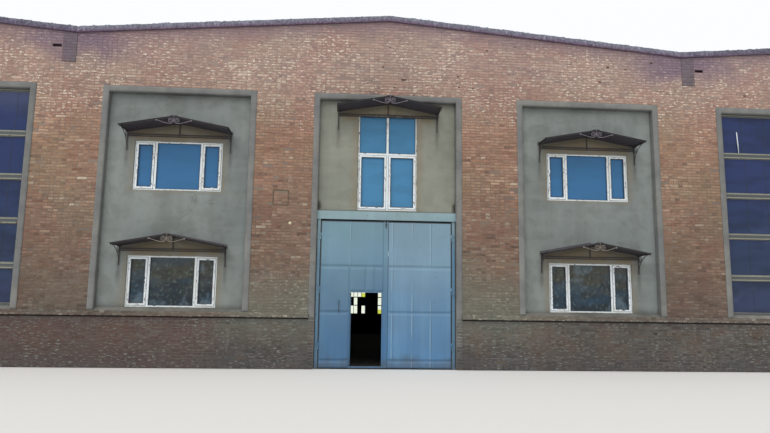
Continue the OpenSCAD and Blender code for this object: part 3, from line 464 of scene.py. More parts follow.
class Graph:
    """Short calls for laying out a node tree, a material's or a group's."""

    def __init__(self, tree: bpy.types.NodeTree) -> None:
        """Keeps the tree."""
        self.tree = tree

    @classmethod
    def group(cls, name: str, **inputs: float) -> tuple["Graph", list[Signal]]:
        """Starts a node group.

        Args:
            name: The group's name.
            inputs: The usual value of each number that it takes.

        Returns:
            The group's graph, and its inputs in the same order.
        """
        tree = bpy.data.node_groups.new(name, "ShaderNodeTree")
        for key, value in inputs.items():
            socket = tree.interface.new_socket(key, in_out="INPUT", socket_type="NodeSocketFloat")
            socket.default_value = value
        graph = cls(tree)
        given = graph.node("NodeGroupInput").outputs
        return graph, [Signal(graph, given[key]) for key in inputs]

    def give(self, **values: Signal) -> bpy.types.NodeTree:
        """Ends a node group.

        Args:
            values: The numbers that it puts out, by name.

        Returns:
            The group.
        """
        end = self.node("NodeGroupOutput")
        for key, value in values.items():
            self.tree.interface.new_socket(key, in_out="OUTPUT", socket_type="NodeSocketFloat")
            self.feed(end.inputs[key], value)
        return self.tree

    def node(self, kind: str, **settings: object) -> bpy.types.Node:
        """Adds a node.

        Args:
            kind: The node's type.
            settings: Its own settings.

        Returns:
            The node.
        """
        made = self.tree.nodes.new(kind)
        for key, value in settings.items():
            setattr(made, key, value)
        return made

    def feed(self, socket: bpy.types.NodeSocket, value: object) -> None:
        """Links a socket or sets it.

        Args:
            socket: A node's input.
            value: A signal, or the number, vector or colour that it is set to.
        """
        if isinstance(value, Signal):
            self.tree.links.new(value.socket, socket)
        else:
            socket.default_value = paint(*value) if socket.type == "RGBA" else value

    def add(self, kind: str, given: dict[int | str, object], output: int | str = 0,
            **settings: object) -> Signal:
        """Adds a shader node and feeds it.

        Args:
            kind: The node's type without its first words.
            given: What its inputs take, by number or name.
            output: Number or name of the output that is wanted.
            settings: Its own settings.

        Returns:
            That output.
        """
        made = self.node("ShaderNode" + kind, **settings)
        for key, value in given.items():
            self.feed(made.inputs[key], value)
        return Signal(self, made.outputs[output])

    def math(self, operation: str, a: Part, b: Part = 0.0, clamp: bool = False) -> Signal:
        """One number worked out from two."""
        return self.add("Math", {0: a, 1: b}, operation=operation, use_clamp=clamp)

    def blend(self, factor: Part, a: Hue, b: Hue, mode: str = "MIX") -> Signal:
        """Colour a turned towards colour b by a factor."""
        return self.add("Mix", {0: factor, 6: a, 7: b}, 2, data_type="RGBA", blend_type=mode)

    def layered(self, colour: Hue, *layers: tuple[Part, Hue]) -> Signal:
        """A colour with layers laid over it in turn, each a factor and a colour."""
        return reduce(lambda under, layer: self.blend(layer[0], under, layer[1]), layers, colour)

    def ramp(self, value: Signal, stops: list[tuple[float, Colour]]) -> Signal:
        """The colour at a value on a ramp.

        Args:
            value: The place on the ramp, from 0 to 1.
            stops: Places and colours: first both ends, then what lies between.

        Returns:
            The colour.
        """
        made = self.node("ShaderNodeValToRGB")
        points = made.color_ramp.elements
        for number, (place, colour) in enumerate(stops):
            point = points[number] if number < 2 else points.new(place)
            point.position, point.color = place, paint(*colour)
        self.feed(made.inputs[0], value)
        return Signal(self, made.outputs[0])

    def scaled(self, colour: Signal, factor: Part) -> Signal:
        """A colour made brighter or darker."""
        return self.add("VectorMath", {0: colour, "Scale": factor}, operation="SCALE")

    def where(self, stretch: Triple = (1.0, 1.0, 1.0), shift: Triple = (0.0, 0.0, 0.0)) -> Signal:
        """The place on the object, stretched and shifted."""
        place = self.add("TexCoord", {}, "Object")
        return self.add("Mapping", {"Vector": place, "Scale": stretch, "Location": shift})

    def noise(self, scale: Part, detail: float = 3.0, stretch: Triple = (1.0, 1.0, 1.0),
              shift: Triple = (0.0, 0.0, 0.0), distortion: float = 0.0) -> Signal:
        """Cloudy noise of a scale per metre, from 0 to 1."""
        return self.add("TexNoise", {"Vector": self.where(stretch, shift), "Scale": scale, "Detail": detail,
                                     "Distortion": distortion})

    def axis(self, letter: str, source: str = "TexCoord", output: str = "Object") -> Signal:
        """One coordinate of the place on the object, or of another node's vector."""
        return self.add("SeparateXYZ", {0: self.add(source, {}, output)}, letter)

    def lean(self) -> Signal:
        """1 where a face looks up, 0 where it is upright and -1 where it looks down."""
        return self.axis("Z", "NewGeometry", "Normal")

    def value(self, name: str) -> Signal:
        """A value that the mesh carries on its points."""
        return self.add("Attribute", {}, "Fac", attribute_name=name)

    def placed(self, group: bpy.types.NodeTree, **inputs: float) -> dict[str, Signal]:
        """Places a group.

        Args:
            group: The group.
            inputs: Values of its inputs, by name.

        Returns:
            What it puts out, by name.
        """
        made = self.node("ShaderNodeGroup", node_tree=group)
        for key, value in inputs.items():
            self.feed(made.inputs[key], value)
        return {output.name: Signal(self, output) for output in made.outputs}

    def bump(self, height: Signal, distance: float, strength: float = 1.0) -> Signal:
        """A normal turned by a height of up to a distance in metres."""
        return self.add("Bump", {"Height": height, "Distance": distance, "Strength": strength})


class Effects:
    """The effects that several finishes share, each a node group that is built once."""

    def __init__(self) -> None:
        """Builds the groups."""
        self.weather, self.rust = self.build_weather(), self.build_rust()
        self.soil, self.zones = self.build_soil(), self.build_zones()

    def build_weather(self) -> bpy.types.NodeTree:
        """Cloudy blotches, rain streaks that run down, and fine grain.

        Returns:
            The group, from 0 to 1 each.
        """
        graph, (blotch, streak, grain) = Graph.group("weather", Blotch=0.8, Streak=3.0, Grain=60.0)
        return graph.give(Blotch=graph.noise(blotch, 4.0).remap(0.32, 0.68),
                          Streak=graph.noise(streak, 3.0, stretch=(1.0, 1.0, 0.07)).remap(0.42, 0.75),
                          Grain=graph.noise(grain, 2.0))

    def build_rust(self) -> bpy.types.NodeTree:
        """Rust that breaks out in spots and runs down a little.

        Returns:
            The group: the spots and the stains below them.
        """
        graph, (spots, spread) = Graph.group("rust", Spots=9.0, Spread=0.66)
        rust = graph.noise(spots, 5.0, distortion=0.4) - spread
        runs = graph.noise(spots, 4.0, stretch=(1.0, 1.0, 0.16)) - spread
        return graph.give(Rust=graph.math("MULTIPLY", rust, 14.0, clamp=True),
                          Stain=graph.math("MULTIPLY", runs, 5.0, clamp=True))

    def build_soil(self) -> bpy.types.NodeTree:
        """Splashed soil that fades out above the ground, with an uneven edge.

        Returns:
            The group: 1 at the ground.
        """
        graph, (height,) = Graph.group("soil", Height=0.6)
        edge = graph.axis("Z") + (graph.noise(2.2, 4.0) - 0.5)
        return graph.give(Soil=(edge / height).remap(0.0, 1.0, 1.0, 0.0))

    def build_zones(self) -> bpy.types.NodeTree:
        """Where the wall changes with height and with the distance from the gate and the valleys.

        Returns:
            The group: grey foot that is partly painted shade, damp haze below the valleys, painted shade
            on faces that look down, dashes of lime, pale top that is partly painted glare, olive by the gate.
        """
        graph, (share,) = Graph.group("zones", Share=0.78)
        ragged = (graph.noise(0.9, 4.0) - 0.5) * 1.6
        height = graph.axis("Z") + ragged
        across = abs(graph.axis("X"))
        dado = graph.axis("Z").remap(1.2, 1.36, 1.0, 0.0)
        # the foot mask darkens the lower wall: partly its own grey, partly painted shade
        foot = height.remap(0.5, 7.5, 1.0, 0.0) + dado * 0.2
        off = abs(across - 8.3)
        damp = (off + ragged * 0.5).remap(0.5, 2.4, 0.85, 0.0) * height.remap(7.7, 8.5)
        strip = (graph.axis("Z") - off * 0.0836 + ragged * 0.2).remap(8.1, 8.62, 0.0, 0.5)
        haze = graph.math("MAXIMUM", damp, strip)
        front = graph.math("LESS_THAN", graph.axis("Y"), -10.6)
        band = height.remap(6.0, 7.0, 0.0, 0.85) * height.remap(8.6, 9.2, 1.0, 0.0)
        gate = across.remap(2.4, 4.6, 0.7, 0.0) * height.remap(1.6, 3.4, 1.0, 0.0) * front
        lime = graph.math("MAXIMUM", band, graph.math("MAXIMUM", gate, dado * 0.8)) + 0.16
        lime = lime * haze.remap(0.0, 0.6, 1.0, 0.3)
        uneven = graph.noise(1.4, 3.0, shift=(2.0, 5.0, 1.0)).remap(0.36, 0.6, 0.25, 1.0)
        olive = across.remap(3.4, 5.2, 0.42, 0.0) * height.remap(1.4, 3.2, 1.0, 0.0) * front
        # the output for faces that look down is painted shade; the pale top output is partly painted glare
        return graph.give(Foot=graph.math("MULTIPLY", foot, share, clamp=True), Haze=haze,
                          Under=graph.lean().remap(-0.8, -0.4, 0.9, 0.0), Lime=lime * uneven,
                          High=graph.axis("Z").remap(5.6, 8.4, 0.0, 0.38),
                          Olive=olive * graph.axis("Z").remap(0.3, 1.5))


effects = Effects()
MADE: dict[str, bpy.types.Material] = {}


# finishes

@dataclass(frozen=True)
class Finish:
    """What a surface is made of. A finish builds its material once and gives it out again."""

    name: str

    def material(self) -> bpy.types.Material:
        """Builds the material at the first call.

        Returns:
            The finish's material.
        """
        if self.name not in MADE:
            made = MADE[self.name] = bpy.data.materials.new(self.name)
            made.use_nodes = True
            graph = Graph(made.node_tree)
            for key, value in self.dress(graph).items():
                graph.feed(made.node_tree.nodes["Principled BSDF"].inputs[key], value)
        return MADE[self.name]

    def dress(self, graph: Graph) -> Sockets:
        """What each of the shader's sockets takes, by name."""
        raise NotImplementedError


@dataclass(frozen=True)
class Brick(Finish):
    """Fired bricks: each has its own hue and tone, with smears, dashes of lime, dirt, and painted light and
    shade by zone.
    """

    cool: Colour = (122, 98, 84)
    red: Colour = (150, 108, 86)
    salmon: Colour = (168, 132, 108)
    buff: Colour = (182, 152, 127)
    cream: Colour = (204, 184, 158)
    smear: Colour = (150, 132, 104)
    foot: Colour = (140, 163, 182)
    haze: Colour = (122, 104, 122)
    lime: Colour = (224, 210, 192)
    share: float = 0.8
    hazed: float = 1.0

    def fired(self, graph: Graph, grain: Signal) -> Signal:
        """The clean bricks: hue by brick on a ramp, with tone and level shades over it.

        Args:
            graph: The material's nodes.
            grain: Fine noise.

        Returns:
            The colour.
        """
        colour = graph.ramp(graph.value("hue") + (grain - 0.5) * 0.2, [
            (0.0, self.cool), (1.0, self.cream), (0.2, self.red), (0.5, self.salmon), (0.8, self.buff)])
        level = graph.noise(7.0, 3.0, stretch=(0.8, 0.8, 2.6)).remap(0.32, 0.68, 0.8, 1.16)
        return graph.scaled(colour, level * graph.value("tone").remap(0.0, 1.0, 0.78, 1.2))

    def dress(self, graph: Graph) -> Sockets:
        """Fired bricks under smears, a pale top partly of painted glare, haze, a grey foot partly of
        painted shade, painted shade under the ledge, lime dashes, pits and streaks.

        Args:
            graph: The material's nodes.

        Returns:
            The shader's sockets.
        """
        weather = graph.placed(effects.weather, Blotch=0.45, Streak=2.4, Grain=150.0)
        zones = graph.placed(effects.zones, Share=self.share)
        across, height, foot = graph.axis("X"), graph.axis("Z"), zones["Foot"]
        patches = graph.noise(0.8, 5.0, shift=(4.0, 0.0, 2.0)).remap(0.42, 0.64, 0.0, 0.7)
        specks = graph.noise(30.0, 3.0).remap(0.42, 0.6, 0.35, 1.0)
        rosy = graph.noise(0.55, 3.0, shift=(9.0, 4.0, 3.0)).remap(0.42, 0.62, 0.0, 0.3)
        # the pale pink top layer is partly painted glare
        colour = graph.layered(
            self.fired(graph, weather["Grain"]), (patches * specks, self.smear),
            (zones["High"] * self.hazed, (181, 163, 168)), (rosy, (160, 112, 96)),
            (zones["Haze"] * self.hazed, self.haze))
        # the foot multiply greys and cools the lower wall: partly its own colour, partly painted shade
        colour = graph.blend(foot, colour, self.foot, "MULTIPLY")
        grey = graph.ramp(graph.value("tone"), [
            (0.1, (58, 56, 58)), (0.9, (104, 110, 112)), (0.5, (78, 80, 82))])
        rusty = graph.noise(1.3, 4.0, shift=(5.0, 2.0, 8.0)).remap(0.46, 0.62, 0.0, 0.42)
        ruddy = across.remap(-5.0, -3.8, 0.5, 0.0) * height.remap(1.25, 1.35, 1.0, 0.0)
        # painted shade just under the ledge
        shade_below_ledge = height.remap(1.0, 1.22, 0.0, 0.26) * height.remap(1.25, 1.3, 1.0, 0.0)
        dashes = graph.noise(8.5, 4.0, stretch=(1.0, 1.0, 3.4), shift=(1.0, 3.0, 4.0)).remap(0.55, 0.61)
        pits = graph.noise(8.0, 4.0, stretch=(1.0, 1.0, 3.0), shift=(6.0, 1.0, 9.0))
        # the grey at the foot is partly painted shade; the wall darkens towards the ground and has painted
        # shade under the ledge
        colour = graph.layered(
            colour, (foot.remap(0.6, 0.92, 0.0, 0.45), grey), (rusty * foot.remap(0.5, 0.9), (104, 80, 66)),
            (zones["Olive"], (122, 130, 116)), (ruddy, (98, 66, 60)),
            (height.remap(0.1, 0.8, 0.4, 0.0) + shade_below_ledge, (62, 70, 78)),
            (dashes * zones["Lime"], graph.blend(foot, self.lime, (116, 119, 114))),
            (pits.remap(0.57, 0.64, 0.0, 0.45), graph.blend(foot, (112, 82, 80), (66, 56, 54))),
            (weather["Streak"] * 0.1, (88, 82, 78)))
        rough = graph.noise(220.0, 3.0) + graph.noise(45.0, 3.0) * 1.5
        return {"Base Color": colour, "Roughness": 0.93, "Specular IOR Level": 0.25,
                "Normal": graph.bump(rough, 0.003, 0.7)}


@dataclass(frozen=True)
class Capping(Finish):
    """Coping: pale, speckled, bluish with painted shade, purple-brown painted shadow below, dark past the
    valleys.
    """

    # painted light: the faces' bluish tones are painted shade, the low and bottom tones painted shadow under
    # the overhang; upper is the tops' own grey
    top: Colour = (126, 130, 146)
    middle: Colour = (121, 118, 134)
    low: Colour = (112, 96, 114)
    bottom: Colour = (104, 84, 108)
    dark: Colour = (86, 78, 100)
    upper: Colour = (118, 114, 112)
    thick: float = 0.16

    def dress(self, graph: Graph) -> Sockets:
        """Colour by height over the parapet's line, with specks, darker in the wings.

        Args:
            graph: The material's nodes.

        Returns:
            The shader's sockets.
        """
        across = abs(graph.axis("X"))
        line = graph.axis("Z") - abs(across - plan.valley_x) * (plan.ridge_rise / plan.valley_x)
        line = line + (graph.noise(7.0, 4.0) - 0.5) * 0.07
        # dark at the bottom of the height ramp: painted shadow under the overhang
        colour = graph.ramp((line - plan.valley_z) / self.thick, [
            (0.0, self.bottom), (1.0, self.top), (0.16, self.low), (0.5, self.middle)])
        uneven = graph.noise(2.5, 3.0, shift=(3.0, 0.0, 1.0)).remap(0.36, 0.62, 0.35, 1.0)
        colour = graph.layered(colour, (across.remap(8.1, 8.5, 0.0, 0.6) * uneven, self.dark),
                               (graph.lean().remap(0.6, 0.9, 0.0, 0.7), self.upper))
        specks = graph.noise(15.0, 4.0).remap(0.34, 0.66, 0.7, 1.32)
        colour = graph.scaled(colour, specks * graph.value("tone").remap(0.0, 1.0, 0.84, 1.16))
        return {"Base Color": colour, "Roughness": 0.95,
                "Normal": graph.bump(graph.noise(60.0, 4.0), 0.006, 0.8)}


@dataclass(frozen=True)
class Mortar(Finish):
    """Lime mortar in the joints, and the inner faces of the same walls, painted black as the shade of the
    unlit hall.
    """

    base: Colour = (152, 134, 120)
    dark: Colour = (130, 112, 101)
    foot: Colour = (176, 188, 194)
    haze: Colour = (112, 96, 112)
    # under is painted shade on faces that look down; inside is painted black as the shade of the unlit hall
    under: Colour = (76, 58, 76)
    inside: Colour = (44, 42, 40)
    inner_x: float = 13.4
    inner_y: float = 10.55

    def dress(self, graph: Graph) -> Sockets:
        """Grainy mortar, with painted shade on faces that look down, and painted black indoors
        as the shade of the unlit hall.

        Args:
            graph: The material's nodes.

        Returns:
            The shader's sockets.
        """
        weather = graph.placed(effects.weather, Blotch=0.6, Streak=2.0, Grain=90.0)
        zones = graph.placed(effects.zones, Share=0.8)
        # the pale top layer is partly painted glare, and the foot multiply below is partly painted shade
        colour = graph.layered(self.base, (weather["Blotch"], self.dark),
                               (weather["Grain"].remap(0.35, 0.65, 0.0, 0.5), self.dark),
                               (zones["High"], (176, 158, 152)), (zones["Haze"], self.haze))
        colour = graph.blend(zones["Foot"], colour, self.foot, "MULTIPLY")
        far = graph.math("MAXIMUM", abs(graph.axis("X")) / self.inner_x, abs(graph.axis("Y")) / self.inner_y)
        # faces that look down get painted shade, and the inside faces are painted black as the unlit hall's
        # shade
        colour = graph.layered(colour, (zones["Olive"], (122, 128, 114)), (zones["Under"], self.under),
                               (graph.math("LESS_THAN", far, 1.0), self.inside))
        return {"Base Color": colour, "Roughness": 0.97, "Specular IOR Level": 0.15,
                "Normal": graph.bump(graph.noise(160.0, 4.0), 0.003, 0.9)}


@dataclass(frozen=True)
class Plaster(Finish):
    """Cement plaster with cloudy repairs, rain streaks, trowel waves and hair cracks."""

    base: Colour = (128, 135, 134)
    pale: Colour = (144, 150, 147)
    stain: Colour = (92, 94, 88)
    blotch: float = 0.5
    soil_height: float = 0.5
    crack: float = 0.35
    patch: Colour = (134, 121, 98)
    dark_tone: Colour = (58, 54, 50)

    def cracks(self, graph: Graph) -> Signal:
        """Hair cracks: the edges of bent cells, here and there.

        Args:
            graph: The material's nodes.

        Returns:
            How dark a crack is at a place.
        """
        given = {0: graph.noise(2.5, 4.0), 1: (0.3, 0.3, 0.3), 2: graph.where((1.0, 1.0, 0.8))}
        bent = graph.add("VectorMath", given, operation="MULTIPLY_ADD")
        edge = graph.add("TexVoronoi", {"Vector": bent, "Scale": 0.75}, feature="DISTANCE_TO_EDGE")
        there = graph.noise(0.9, 2.0, shift=(0.0, 6.0, 0.0)).remap(0.5, 0.62, 0.0, self.crack)
        return edge.remap(0.0, 0.004, 1.0, 0.0) * there

    def dress(self, graph: Graph) -> Sockets:
        """Pale clouds, stains in streaks, and repairs, rust and painted shadow by the mesh's own values.

        Args:
            graph: The material's nodes.

        Returns:
            The shader's sockets.
        """
        weather = graph.placed(effects.weather, Blotch=self.blotch, Streak=1.7, Grain=70.0)
        soil = graph.placed(effects.soil, Height=self.soil_height)["Soil"]
        small = graph.noise(3.4, 5.0, shift=(3.0, 1.0, 7.0)).remap(0.42, 0.66)
        lifts = graph.noise(1.1, 2.0, stretch=(0.35, 0.35, 2.6)).remap(0.54, 0.6, 0.0, 0.22)
        mended = graph.noise(2.6, 4.0, shift=(8.0, 2.0, 1.0)).remap(0.25, 0.6, 0.45, 1.0)
        # the mesh's dark marks hold rust and painted shadow under the canopies and over the lintel
        colour = graph.layered(
            self.base, (weather["Blotch"], self.pale), (small * 0.26, self.stain),
            (weather["Streak"] * 0.3, self.stain), (lifts, self.pale),
            (graph.value("repair") * mended, self.patch), (graph.value("grime"), self.dark_tone),
            (weather["Grain"].remap(0.3, 0.7, 0.0, 0.16), self.stain), (soil * 0.55, self.dark_tone),
            (self.cracks(graph), self.dark_tone))
        waves = graph.noise(5.0, 3.0) * 3.0 + graph.noise(110.0, 3.0)
        return {"Base Color": colour, "Roughness": 0.94, "Specular IOR Level": 0.2,
                "Normal": graph.bump(waves, 0.004, 0.6)}


@dataclass(frozen=True)
class Felt(Finish):
    """Bitumen felt: mineral grain, dust in clouds, dark laps."""

    base: Colour = (74, 74, 76)
    dust: Colour = (120, 116, 108)
    lap: Colour = (40, 40, 42)

    def dress(self, graph: Graph) -> Sockets:
        """Dust where it gathers, and laps by the mesh's own value.

        Args:
            graph: The material's nodes.

        Returns:
            The shader's sockets.
        """
        weather = graph.placed(effects.weather, Blotch=0.35, Streak=1.2, Grain=240.0)
        colour = graph.layered(
            self.base, (weather["Blotch"] * 0.3, self.dust), (graph.value("lap") * 0.7, self.lap),
            (weather["Grain"].remap(0.45, 0.7, 0.0, 0.5), self.dust))
        return {"Base Color": colour, "Roughness": 0.95,
                "Normal": graph.bump(weather["Grain"] + graph.noise(3.0, 3.0), 0.004, 0.6)}


@dataclass(frozen=True)
class Paint(Finish):
    """Old paint on steel: it fades with height, chalks in streaks, and rusts in spots."""

    high: Colour = (130, 150, 158)
    low: Colour = (130, 150, 158)
    rust: Colour = (96, 60, 44)
    dirt: Colour = (70, 74, 76)
    fade: Span = (0.6, 3.6)
    spots: float = 9.0
    spread: float = 0.68
    streak: float = 0.25
    roughness: float = 0.55
    soil_height: float = 0.35

    def dress(self, graph: Graph) -> Sockets:
        """Colour by height, chalk, rust spots with stains below, soil at the foot, and painted
        highlight and shade lines from the mesh's values.

        Args:
            graph: The material's nodes.

        Returns:
            The shader's sockets.
        """
        weather = graph.placed(effects.weather, Blotch=0.9, Streak=4.5, Grain=120.0)
        rust = graph.placed(effects.rust, Spots=self.spots, Spread=self.spread)
        soil = graph.placed(effects.soil, Height=self.soil_height)["Soil"]
        height = graph.axis("Z") + (graph.noise(0.8, 3.0) - 0.5) * 1.2
        chalk = tuple(min(255.0, part * 1.13 + 6) for part in self.high)
        # the mesh's two values are painted highlight and painted shade lines at the gate's folds
        colour = graph.layered(
            self.low, (height.remap(*self.fade), self.high), (weather["Streak"] * self.streak, chalk),
            (weather["Blotch"] * 0.18, self.dirt), (rust["Stain"] * 0.4, self.rust),
            (rust["Rust"], self.rust), (graph.value("worn"), chalk), (graph.value("grime"), self.dirt),
            (soil * 0.5, self.dirt))
        runs = graph.noise(14.0, 3.0, stretch=(1.0, 1.0, 0.3)) * 1.2
        return {"Base Color": colour, "Roughness": rust["Rust"].remap(0.0, 1.0, self.roughness, 0.92),
                "Normal": graph.bump(rust["Rust"] * 1.5 + (runs + weather["Grain"]), 0.0012, 0.6)}


@dataclass(frozen=True)
class Plastic(Finish):
    """White window plastic that greys and takes dirt in runs."""

    base: Colour = (232, 239, 243)
    aged: Colour = (216, 220, 214)
    dirt: Colour = (150, 152, 150)

    def dress(self, graph: Graph) -> Sockets:
        """White with faint grey clouds and thin dirt runs.

        Args:
            graph: The material's nodes.

        Returns:
            The shader's sockets.
        """
        weather = graph.placed(effects.weather, Blotch=1.6, Streak=14.0, Grain=180.0)
        colour = graph.layered(self.base, (weather["Blotch"] * 0.6, self.aged),
                               (weather["Streak"] * 0.16, self.dirt))
        return {"Base Color": colour, "Roughness": weather["Grain"].remap(0.3, 0.7, 0.28, 0.42),
                "Coat Weight": 0.15, "Normal": graph.bump(weather["Grain"], 0.0004, 0.4)}


@dataclass(frozen=True)
class Scrap(Finish):
    """Torn protective film left on the frames: black, grey, pink and white by scrap."""

    def dress(self, graph: Graph) -> Sockets:
        """Hue by scrap, dulled by fine grain.

        Args:
            graph: The material's nodes.

        Returns:
            The shader's sockets.
        """
        grain = graph.noise(90.0, 2.0)
        colour = graph.ramp(graph.value("hue") + (grain - 0.5) * 0.2, [
            (0.0, (34, 32, 34)), (1.0, (236, 236, 232)), (0.4, (96, 92, 92)), (0.62, (176, 120, 122)),
            (0.8, (222, 214, 200))])
        return {"Base Color": colour, "Roughness": 0.6, "Normal": graph.bump(grain, 0.001, 0.5)}


@dataclass(frozen=True)
class Glass(Finish):
    """Window glass: opaque before a dark room, with painted reflections of the sky and dark forms, or clear.
    """

    sky: Colour = (67, 109, 150)
    murk: Colour = (67, 109, 150)
    olive: Colour = (67, 109, 150)
    glow: Colour = (67, 109, 150)
    deep: Colour = (50, 84, 118)
    band: Span = (0.0, 1.0)
    cloud: float = 0.2
    leaves: float = 0.0
    middle: float = 0.0
    clear: float = 0.0

    def dress(self, graph: Graph) -> Sockets:
        """Painted reflection of the sky above the band, and below it murk that turns olive upwards,
        with leaves reflected as specks.

        Args:
            graph: The material's nodes.

        Returns:
            The shader's sockets.
        """
        height = graph.axis("Z") + (graph.noise(1.2, 3.0) - 0.5) * 0.6
        split = graph.axis("Z") + graph.noise(3.0, 4.0, stretch=(1.0, 1.0, 2.0)) * 1.1
        clouds = graph.noise(2.0, 3.0, stretch=(0.45, 0.45, 1.6)).remap(0.42, 0.68, 0.0, self.cloud)
        # painted reflections: light patches, dark and pale leafy specks, a lighter middle window, clouds
        light = graph.noise(1.3, 4.0, shift=(0.4, 0.0, 2.0)).remap(0.54, 0.62, 0.0, 0.6)
        dark = graph.noise(7.0, 6.0, shift=(3.0, 1.0, 0.0)).remap(0.48, 0.62, 0.0, self.leaves)
        pale = graph.noise(13.0, 5.0, stretch=(1.0, 1.0, 0.7), shift=(8.0, 0.0, 4.0))
        over_gate = abs(graph.axis("X")).remap(0.85, 1.2, self.middle, 0.0)
        colour = graph.layered(
            self.murk, (split.remap(2.35, 3.0), self.olive), (light, self.glow), (dark, (34, 40, 38)),
            (pale.remap(0.52, 0.7, 0.0, self.leaves), (112, 128, 120)), (height.remap(*self.band), self.sky),
            (over_gate, (74, 132, 172)), (clouds, self.deep))
        return {"Base Color": colour, "Roughness": 0.08, "IOR": 1.3, "Transmission Weight": self.clear,
                "Normal": graph.bump(graph.noise(2.2, 1.0), 0.003, 0.2)}


class Finishes:
    """Every finish of the building, named for what it covers."""

    brick = Brick("old_brick")
    mortar = Mortar("lime_mortar")
    plaster = Plaster("infill_plaster")
    pale_plaster = Plaster("centre_plaster", (138, 141, 130), (156, 156, 144), (112, 112, 102))
    cement = Plaster("band_cement", (120, 122, 122), (136, 136, 132), (88, 88, 86), 0.9, 0.9, 0.5)
    sill = Plaster("sill_cement", (112, 112, 108), (134, 132, 124), (76, 74, 70), 1.4, 0.2)
    concrete = Plaster("old_concrete", (118, 116, 110), (136, 133, 126), (86, 83, 78), 0.4)
    # the foam's dark base and stain are partly painted shade of the gap beside the window frames
    foam = Plaster("mounting_foam", (104, 98, 86), (206, 198, 174), (44, 40, 36), 6.0, 0.01, 0.0)
    putty = Plaster("window_putty", (150, 148, 138), (168, 166, 156), (100, 98, 90), 3.0, 0.01, 0.0)
    # painted shadow: near-black finish of the bar under the string course
    dark_tone = Plaster("painted_shadow_black", (44, 40, 38), (58, 52, 48), (30, 28, 26), 3.0)
    board = Plaster("dark_board", (24, 24, 24), (34, 33, 31), (16, 16, 16), 2.0, 0.01)
    # painted shade: the concrete of the hall's floors and columns is near black, as the unlit inside
    dark_floor = Plaster("hall_concrete_in_shade", (40, 39, 38), (52, 50, 48), (28, 27, 26), 0.5, 0.01)
    # painted shade: dark brown standing in for the inside of small holes
    pit = Plaster("painted_hole_shade", (84, 66, 58), (104, 84, 74), (60, 46, 42), 9.0, 0.01)
    patch_edge = Plaster("patch_edge", (102, 92, 76), (118, 104, 88), (82, 74, 62), 0.5, 0.01)
    dab = Plaster("plaster_dab", (216, 206, 170), (228, 222, 196), (160, 146, 112), 0.5, 0.01)
    coping = Capping("coping_brick")
    ledge = Brick("ledge_brick", (92, 84, 78), (108, 96, 86), (128, 116, 104), (150, 141, 125),
                  (174, 166, 150), (128, 122, 106), share=0.5)
    pad = Brick("pad_render", (80, 75, 81), (84, 79, 84), (93, 87, 90), (106, 100, 101), (120, 116, 117),
                (83, 81, 88), lime=(114, 110, 114), share=0.0, hazed=0.4)
    felt = Felt("roofing_felt")
    plastic = Plastic("window_plastic")
    white_bar = Plastic("loose_bar_paint")
    scrap = Scrap("film_scrap")
    # black for the glass joints and the bolt's shoe, and painted shadow for the gate's gap strips
    black_finish = Paint("black_seal_and_shadow", (40, 42, 44), (40, 42, 44), spread=0.9, streak=0.1)
    # blue-grey of the glazing seals, also used for the painted shadow lines in the sash gaps
    gasket = Paint("window_gasket_and_gap_shade", (58, 72, 86), (58, 72, 86), spread=0.9, streak=0.1)
    pale_flat = Paint("pale_flat_paint", (138, 139, 123), (130, 134, 125), spread=0.64, spots=16.0)
    hall_frame = Paint("hall_frame_paint", (72, 76, 78), (76, 80, 80), spread=0.64, spots=14.0)
    canopy_frame = Paint("canopy_frame_paint", (54, 49, 50), (54, 48, 44), (74, 54, 46), spots=18.0,
                         spread=0.6)
    canopy_sheet = Paint("canopy_sheet_paint", (56, 51, 58), (48, 41, 45), (68, 54, 54), spread=0.64)
    scroll = Paint("scroll_paint", (116, 108, 118), (130, 122, 110), spread=0.72, fade=(3.2, 5.6))
    gate_frame = Paint("gate_frame_paint", (136, 162, 168), (84, 124, 152), spread=0.68, fade=(2.6, 4.1))
    gate = Paint("gate_leaf_paint", (110, 143, 158), (60, 106, 146), fade=(0.3, 4.0), spread=0.7, streak=0.14)
    gate_right = Paint("gate_right_paint", (122, 152, 170), (78, 124, 164), fade=(0.2, 3.6), spread=0.7,
                       streak=0.14)
    iron = Paint("bare_iron", (58, 54, 52), (58, 54, 52), spread=0.5, spots=30.0)
    dark_iron = Paint("dark_iron", (50, 56, 62), (50, 56, 62), spread=0.72, streak=0.1)
    zinc = Paint("zinc_sheet", (128, 132, 134), (128, 132, 134), spread=0.62, spots=6.0, roughness=0.5)
    back_glass = Glass("back_glass", (244, 250, 230), (244, 250, 230), deep=(232, 240, 206), clear=1.0)
    yellow_glass = Glass("yellow_film", (222, 224, 96), (222, 224, 96), deep=(206, 210, 84), clear=1.0)
    office_glass = Glass("office_glass", (60, 112, 158), (42, 52, 60), (74, 74, 66), (104, 122, 134),
                         (52, 94, 124), band=(2.9, 3.6), cloud=0.25, leaves=0.4, middle=0.9)
    hall_glass = Glass("hall_glass", (41, 55, 97), (52, 62, 92), (46, 60, 84), (66, 80, 108), (30, 38, 58),
                       band=(1.4, 6.0), cloud=0.5)


